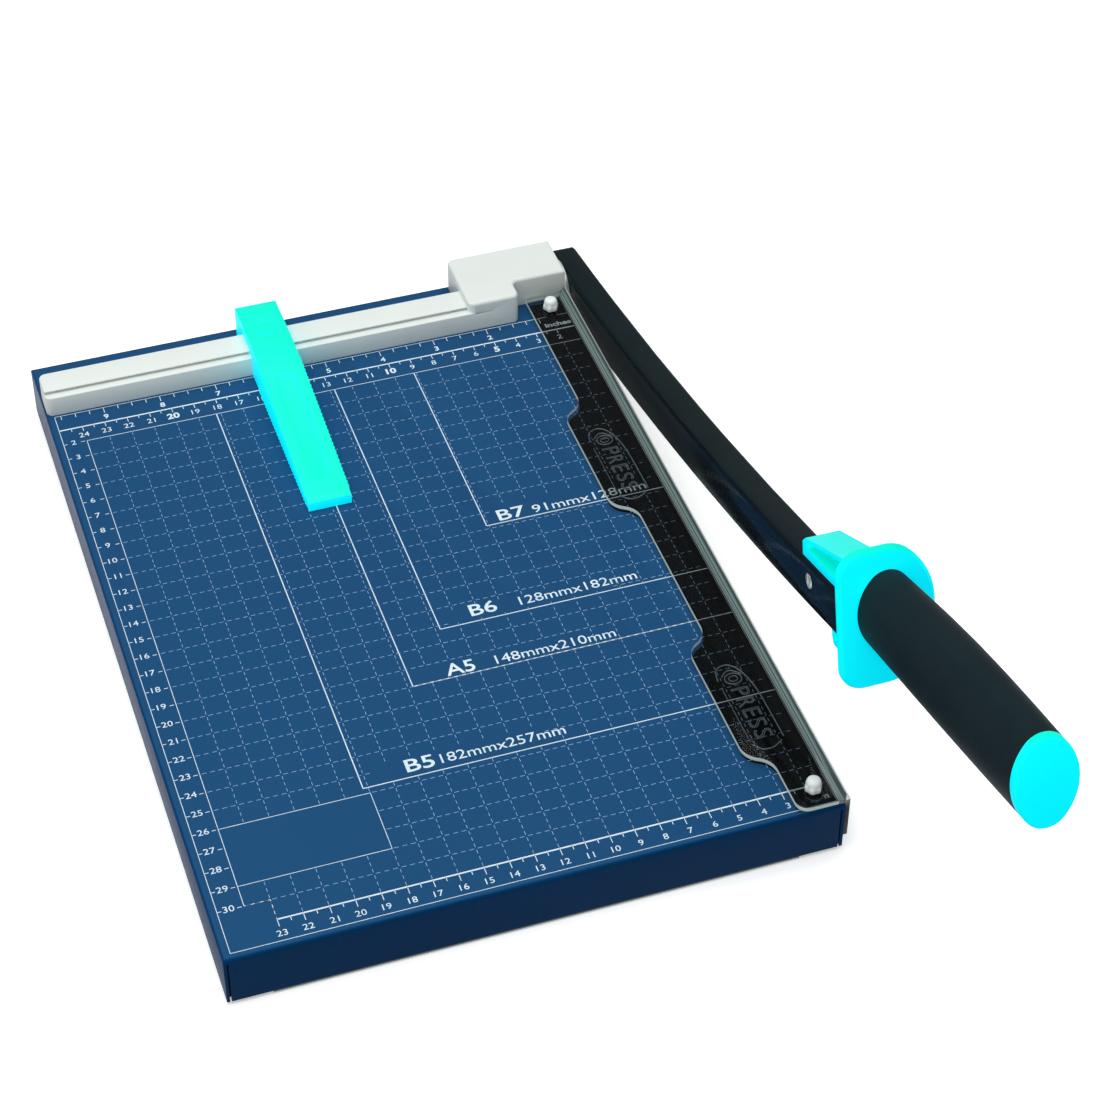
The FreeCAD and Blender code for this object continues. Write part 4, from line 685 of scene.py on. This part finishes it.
def grow(tree, values, name):
    # runs a tree with these input values and returns the plain mesh
    holder = bpy.data.objects.new(name, bpy.data.meshes.new(name))
    scene.collection.objects.link(holder)
    modifier = holder.modifiers.new("grow", "NODES")
    modifier.node_group = tree
    sockets = {item.name: item.identifier for item in tree.interface.items_tree if item.in_out == "INPUT"}
    for key, value in values.items():
        modifier[sockets[key]] = value
    return evaluated(holder, name)


def joined(meshes, name):
    bm = bmesh.new()
    for mesh in meshes:
        bm.from_mesh(mesh)
    result = meshFrom(bm, name)
    for mesh in meshes:
        bpy.data.meshes.remove(mesh)
    return result


bm = bmesh.new()
for u0, u1, v0, v1 in bareAreas:
    corners = [deckPoint(u, v) + Vector((0, 0, deckTopZ))
               for u, v in ((u0, v0), (u1, v0), (u1, v1), (u0, v1))]
    bm.faces.new([bm.verts.new(c) for c in corners])
bareObject = bpy.data.objects.new("bare_areas", meshFrom(bm, "bare_areas"))
scene.collection.objects.link(bareObject)

# dashes in rows every 10 mm from v 30 to 300, and in columns every 10 mm from u 20 to 230
dashes = {"pitch": 10, "perPitch": 3, "acrossDash": 1.9, "downDash": 1.8, "width": 0.22,
          "rows": (30, 300), "columns": (20, 230), "inRow": 68, "inColumn": 87}
thick = (ink["sunk"] + ink["proud"]) * mm
inkMiddle = deckTopZ + (ink["proud"] - ink["sunk"]) / 2 * mm
lift = Vector((0, 0, inkMiddle))
dashTree = makeDashTree()
step = dashes["pitch"] / dashes["perPitch"]
rowFirst, rowLast = dashes["rows"]
columnFirst, columnLast = dashes["columns"]
rowLength = (dashes["inRow"] - 1) * step
columnLength = (dashes["inColumn"] - 1) * step
rowMesh = grow(dashTree, {
    "Size X": rowLength * mm, "Size Y": (rowLast - rowFirst) * mm,
    "Count X": dashes["inRow"], "Count Y": (rowLast - rowFirst) // dashes["pitch"] + 1,
    "Centre": deckPoint(left - step / 2 - rowLength / 2, (rowFirst + rowLast) / 2) + lift,
    "Dash": (dashes["acrossDash"] * mm, dashes["width"] * mm, thick),
    "Bare Areas": bareObject, "Ink": thinInk}, "print_grid_rows")
columnMesh = grow(dashTree, {
    "Size X": (columnLast - columnFirst) * mm, "Size Y": columnLength * mm,
    "Count X": (columnLast - columnFirst) // dashes["pitch"] + 1, "Count Y": dashes["inColumn"],
    "Centre": deckPoint((columnFirst + columnLast) / 2, gridTop + step / 2 + columnLength / 2) + lift,
    "Dash": (dashes["width"] * mm, dashes["downDash"] * mm, thick),
    "Bare Areas": bareObject, "Ink": thinInk}, "print_grid_columns")
newPiece("print_grid", joined([rowMesh, columnMesh], "print_grid"), thinInk, "base")
bpy.data.objects.remove(bareObject)

# tick sizes in mm; each row starts at 1 inch, 2 cm or 23 cm
tickTree = makeTickTree()
ticks = {"width": 0.3, "inch": 25.4, "inchLong": 3.6, "inchShort": 2.6, "cmLong": 2.9, "cmShort": 2.0,
         "lowLong": 3.5, "side": 1.7, "sideGap": 2.6}


def tickRow(count, first, along, every, shortTick, longTick, reach, name):
    # first is the u, v of the first tick and along the step from tick to tick
    return grow(tickTree, {
        "Count": count, "Start": deckPoint(*first) + lift, "Step": (-along[0] * mm, -along[1] * mm, 0),
        "Every": every, "Short Tick": [s * mm for s in shortTick] + [thick],
        "Long Tick": [s * mm for s in longTick] + [thick], "Reach": reach, "Ink": screenInk}, name)


w = ticks["width"]
sideTick = (ticks["side"], w)
forwards, sideways = (0, -0.5, 0), (0.5, 0, 0)
rows = [
    tickRow(36, (ticks["inch"], 0), (ticks["inch"] / 4, 0), 4, (w, ticks["inchShort"]),
            (w, ticks["inchLong"]), forwards, "inch"),
    tickRow(46, (20, ruled["scale"]), (5, 0), 2, (w, ticks["cmShort"]), (w, ticks["cmLong"]), forwards,
            "top_cm"),
    tickRow(42, (lowLeft, lowScale), (-5, 0), 2, (w, ticks["cmShort"]), (w, ticks["lowLong"]), forwards,
            "low_cm"),
    tickRow(29, (border, gridTop), (0, 10), 1, sideTick, sideTick, sideways, "left_a"),
    tickRow(29, (left + ticks["sideGap"], gridTop), (0, 10), 1, sideTick, sideTick, sideways, "left_b"),
]
newPiece("print_ticks", joined(rows, "print_ticks"), screenInk, "base")
print("grid and ticks printed")


# the typeface's capitals stand this share of its size, and unfitted words are spread a little
letterLook = {"capital": 0.73, "spread": 1.12, "weld": 0.004}


def lettering(text, height, width=None, thicken=0.0):
    # letters as a mesh in the XY plane: baseline at y 0, centred on x, capitals this tall (mm)
    curve = bpy.data.curves.new(text, "FONT")
    curve.body = text
    curve.resolution_u = 3
    curve.offset = thicken
    holder = bpy.data.objects.new(text, curve)
    scene.collection.objects.link(holder)
    mesh = evaluated(holder, text)
    bm = bmesh.new()
    bm.from_mesh(mesh)
    bpy.data.meshes.remove(mesh)
    xs = [v.co.x for v in bm.verts]
    middle = (min(xs) + max(xs)) / 2
    tall = height * mm / letterLook["capital"]
    wide = width * mm / (max(xs) - min(xs)) if width else tall * letterLook["spread"]
    for v in bm.verts:
        v.co = Vector(((v.co.x - middle) * wide, v.co.y * tall, 0))
    return bm


def inked(bm, place):
    # lifts flat letters into thin closed ink at a place on the deck
    bmesh.ops.remove_doubles(bm, verts=bm.verts, dist=letterLook["weld"] * mm)
    faces = bm.faces[:]
    for f in faces:
        if f.normal.z < 0:
            f.normal_flip()
    result = bmesh.ops.extrude_face_region(bm, geom=faces)
    for v in [g for g in result["geom"] if isinstance(g, bmesh.types.BMVert)]:
        v.co.z += thick
    bmesh.ops.reverse_faces(bm, faces=faces)
    low = Vector((0, 0, deckTopZ - ink["sunk"] * mm))
    bmesh.ops.transform(bm, matrix=Matrix.Translation(place + low), verts=bm.verts)
    return bm


words = bmesh.new()


def printWord(text, u, v, height, width=None, thicken=0.0):
    bm = inked(lettering(text, height, width, thicken), deckPoint(u, v))
    mesh = meshFrom(bm, "word")
    words.from_mesh(mesh)
    bpy.data.meshes.remove(mesh)


# every word is placed by the middle of its baseline: u, v, height and, where given, width, in mm
for inch in range(2, 10):
    printWord(str(inch), inch * ticks["inch"] - 0.1, 7.7, 3.0, thicken=0.02)
for cm in range(2, 25):
    strong = cm % 5 == 0
    printWord(str(cm), cm * 10 + 0.3, 17.0, 3.6 if strong else 3.1, thicken=0.035 if strong else 0.0)
for cm in range(3, 24):
    printWord(str(cm), cm * 10 - 0.2, 318.2, 3.0)
for cm in range(2, 31):
    printWord(str(cm), 245.8, cm * 10 + 1.0, 3.1)
printWord("inches", 18.0, 7.4, 2.9, 12.4, 0.03)
printWord("2 cm", 17.4, 317.8, 2.9, 8.6, 0.03)
wordPlaces = [("B7", 78.6, 126.6, 12.2, "91mmx128mm", 43.8, 126.4),
              ("B6", 107.8, 178.7, 11.4, "128mmx182mm", 66.8, 178.6),
              ("A5", 127.0, 208.8, 12.1, "148mmx210mm", 86.6, 208.3),
              ("B5", 157.5, 254.2, 11.6, "182mmx257mm", 123.6, 253.7)]
for label, u, v, wide, size, su, sv in wordPlaces:
    printWord(label, u, v, 6.9, wide, 0.01)
    printWord(size, su, sv, 5.1, 51.0)
newPiece("print_numbers", meshFrom(words, "print_numbers"), screenInk, "base")
print("numbers printed")


# raised ridges, rings and the word on each of the guard's thumb pads
guardTopZ = 29.8 * mm   # the pads' face, below the upturned lip
emboss = {"ridge": 0.28, "letterHeight": 7.6, "letterWidth": 4.6, "letterPitch": 6.0, "rim": 0.3,
          "proud": 0.25, "sunk": 0.05, "baseline": 101.2, "word": "PRESS", "padCentres": (38.0, -116.6),
          "padTop": 18.2, "ring": (104.5, 9.9)}


def ridge(points, radius, closed=False):
    curve = bpy.data.curves.new("ridge", "CURVE")
    curve.dimensions = "3D"
    curve.bevel_depth = radius * mm
    curve.bevel_resolution = 2
    curve.resolution_u = 6
    curve.use_fill_caps = True
    spline = curve.splines.new("NURBS")
    spline.points.add(len(points) - 1)
    for point, (x, y) in zip(spline.points, points):
        point.co = (x * mm, y * mm, guardTopZ, 1)
    spline.order_u = 3
    spline.use_cyclic_u = closed
    spline.use_endpoint_u = not closed
    holder = bpy.data.objects.new("ridge", curve)
    scene.collection.objects.link(holder)
    return evaluated(holder, "ridge")


def circle(x, y, rx, ry, count=12):
    return [(x + rx * math.cos(2 * math.pi * k / count), y + ry * math.sin(2 * math.pi * k / count))
            for k in range(count)]


padMeshes = []
for centre in emboss["padCentres"]:
    top = centre + emboss["padTop"]
    r = emboss["ridge"]
    ringX, ringY = emboss["ring"][0], centre + emboss["ring"][1]
    padMeshes.append(ridge([(98.2, top - 8), (98.6, top - 2.6), (101.5, top - 0.2), (105.5, top - 0.1),
                            (109.0, top - 4.6), (110.8, top - 12), (111.7, top - 20),
                            (111.8, top - 44)], r))
    padMeshes.append(ridge([(98.2, top - 12), (98.2, top - 42)], r * 0.6))
    padMeshes.append(ridge([(98.6, top - 44.4), (100.6, top - 47.8), (103.4, top - 48.6),
                            (107, top - 48.2), (110.4, top - 45.6)], r))
    padMeshes.append(ridge(circle(ringX, ringY, 3.6, 3.1), r * 0.9, True))
    padMeshes.append(ridge(circle(ringX, ringY, 2.0, 1.6, 8), r * 0.7, True))
    padMeshes.append(ridge([(100.4, top - 6.4), (102.2, top - 3.8), (105.6, top - 3.2),
                            (108.6, top - 6.8)], r * 0.9))
    for k, letter in enumerate(emboss["word"]):
        bm = lettering(letter, emboss["letterHeight"], emboss["letterWidth"])
        bmesh.ops.remove_doubles(bm, verts=bm.verts, dist=letterLook["weld"] * mm)
        # only the letter's outline stands up, as a thin raised rim
        rim = bmesh.ops.inset_region(bm, faces=bm.faces[:], thickness=emboss["rim"] * mm,
                                     use_even_offset=True, use_boundary=True)
        middle = [f for f in bm.faces if f not in set(rim["faces"])]
        bmesh.ops.delete(bm, geom=middle, context="FACES")
        lifted = bmesh.ops.extrude_face_region(bm, geom=bm.faces[:])
        for v in [g for g in lifted["geom"] if isinstance(g, bmesh.types.BMVert)]:
            v.co.z += (emboss["proud"] + emboss["sunk"]) * mm
        bmesh.ops.recalc_face_normals(bm, faces=bm.faces)
        start = Vector((emboss["baseline"], centre + 2.0 - emboss["letterPitch"] * k, -emboss["sunk"])) * mm
        start.z += guardTopZ
        quarterTurn = Matrix.Rotation(-math.pi / 2, 4, "Z")
        bmesh.ops.transform(bm, matrix=Matrix.Translation(start) @ quarterTurn, verts=bm.verts)
        padMeshes.append(meshFrom(bm, "letter"))
newPiece("guard_emboss", joined(padMeshes, "guard_emboss"), highlightGreyAcrylic, "guard")
print("guard embossed")


# Matt painted studio floor: white, with a faint unevenness.
bm = bmesh.new()
bmesh.ops.create_grid(bm, x_segments=2, y_segments=2, size=4.0)
floor = bpy.data.objects.new("floor", meshFrom(bm, "floor"))
scene.collection.objects.link(floor)
floorPaint = makeMaterial("matt_studio_floor", {
    "colour": "#FCFDFD", "second": "#F9FAFA", "drift": 400, "grain": 4, "depth": 0.02,
    "roughness": (0.7, 0.8),
    "shader": {"Specular IOR Level": 0.1, "Emission Color": (1, 1, 1, 1), "Emission Strength": 0.32}})[0]
floor.data.materials.append(floorPaint)
floorPaint.cycles.emission_sampling = "NONE"
floor.visible_diffuse = False

# a pale room, brighter overhead
world = bpy.data.worlds.new("studio")
scene.world = world
world.use_nodes = True
world.node_tree.nodes.clear()
direction = addNode(world.node_tree, "ShaderNodeTexCoord")
height = addNode(world.node_tree, "ShaderNodeSeparateXYZ", {}, {0: direction.outputs["Generated"]})
fade = addNode(world.node_tree, "ShaderNodeMapRange",
               {"From Min": -0.3, "From Max": 0.9, "To Min": 0.16, "To Max": 0.42},
               {"Value": height.outputs[2]})
sky = addNode(world.node_tree, "ShaderNodeBackground", {"Color": linear("#F7FAFB")},
              {"Strength": fade.outputs[0]})
addNode(world.node_tree, "ShaderNodeOutputWorld", {}, {0: sky.outputs[0]})

# lamps: places and sizes in metres, power in watts
lamps = {
    "overhead": {"place": (-0.1, -0.05, 2.3), "aim": (0.0, -0.05, 0.0), "size": (2.6, 2.6), "power": 53},
    "side": {"place": (-2.2, -0.3, 0.9), "aim": (0.0, 0.0, 0.05), "size": (1.2, 1.6), "power": 9},
    "front": {"place": (-0.9, -2.4, 0.9), "aim": (0.0, -0.1, 0.1), "size": (2.0, 1.2), "power": 13},
}
for name, lamp in lamps.items():
    data = bpy.data.lights.new(name, "AREA")
    data.shape = "RECTANGLE"
    data.size, data.size_y = lamp["size"]
    data.energy = lamp["power"]
    light = bpy.data.objects.new(name, data)
    light.location = lamp["place"]
    beam = Vector(lamp["aim"]) - Vector(lamp["place"])
    light.rotation_euler = beam.to_track_quat("-Z", "Y").to_euler()
    scene.collection.objects.link(light)

# the camera: place and lens in mm, angles in degrees
shot = {"place": (-229.13, -860.43, 851.98), "azimuth": -18.775, "elevation": 42.53, "roll": 0.299,
        "lens": 95.27, "sensor": 36}
azimuth, elevation, roll = (math.radians(shot[key]) for key in ("azimuth", "elevation", "roll"))
back = Vector((math.sin(azimuth) * math.cos(elevation), -math.cos(azimuth) * math.cos(elevation),
               math.sin(elevation)))
horizontal = Vector((math.cos(azimuth), math.sin(azimuth), 0))
upright = back.cross(horizontal)
rightward = horizontal * math.cos(roll) + upright * math.sin(roll)
upward = upright * math.cos(roll) - horizontal * math.sin(roll)
cameraData = bpy.data.cameras.new("camera")
cameraData.lens = shot["lens"]
cameraData.sensor_width = shot["sensor"]
camera = bpy.data.objects.new("camera", cameraData)
camera.matrix_world = Matrix.Translation(Vector(shot["place"]) * mm) @ Matrix(
    (rightward, upward, back)).transposed().to_4x4()
scene.collection.objects.link(camera)
scene.camera = camera
scene.view_settings.view_transform = "Standard"
scene.view_settings.look = "None"
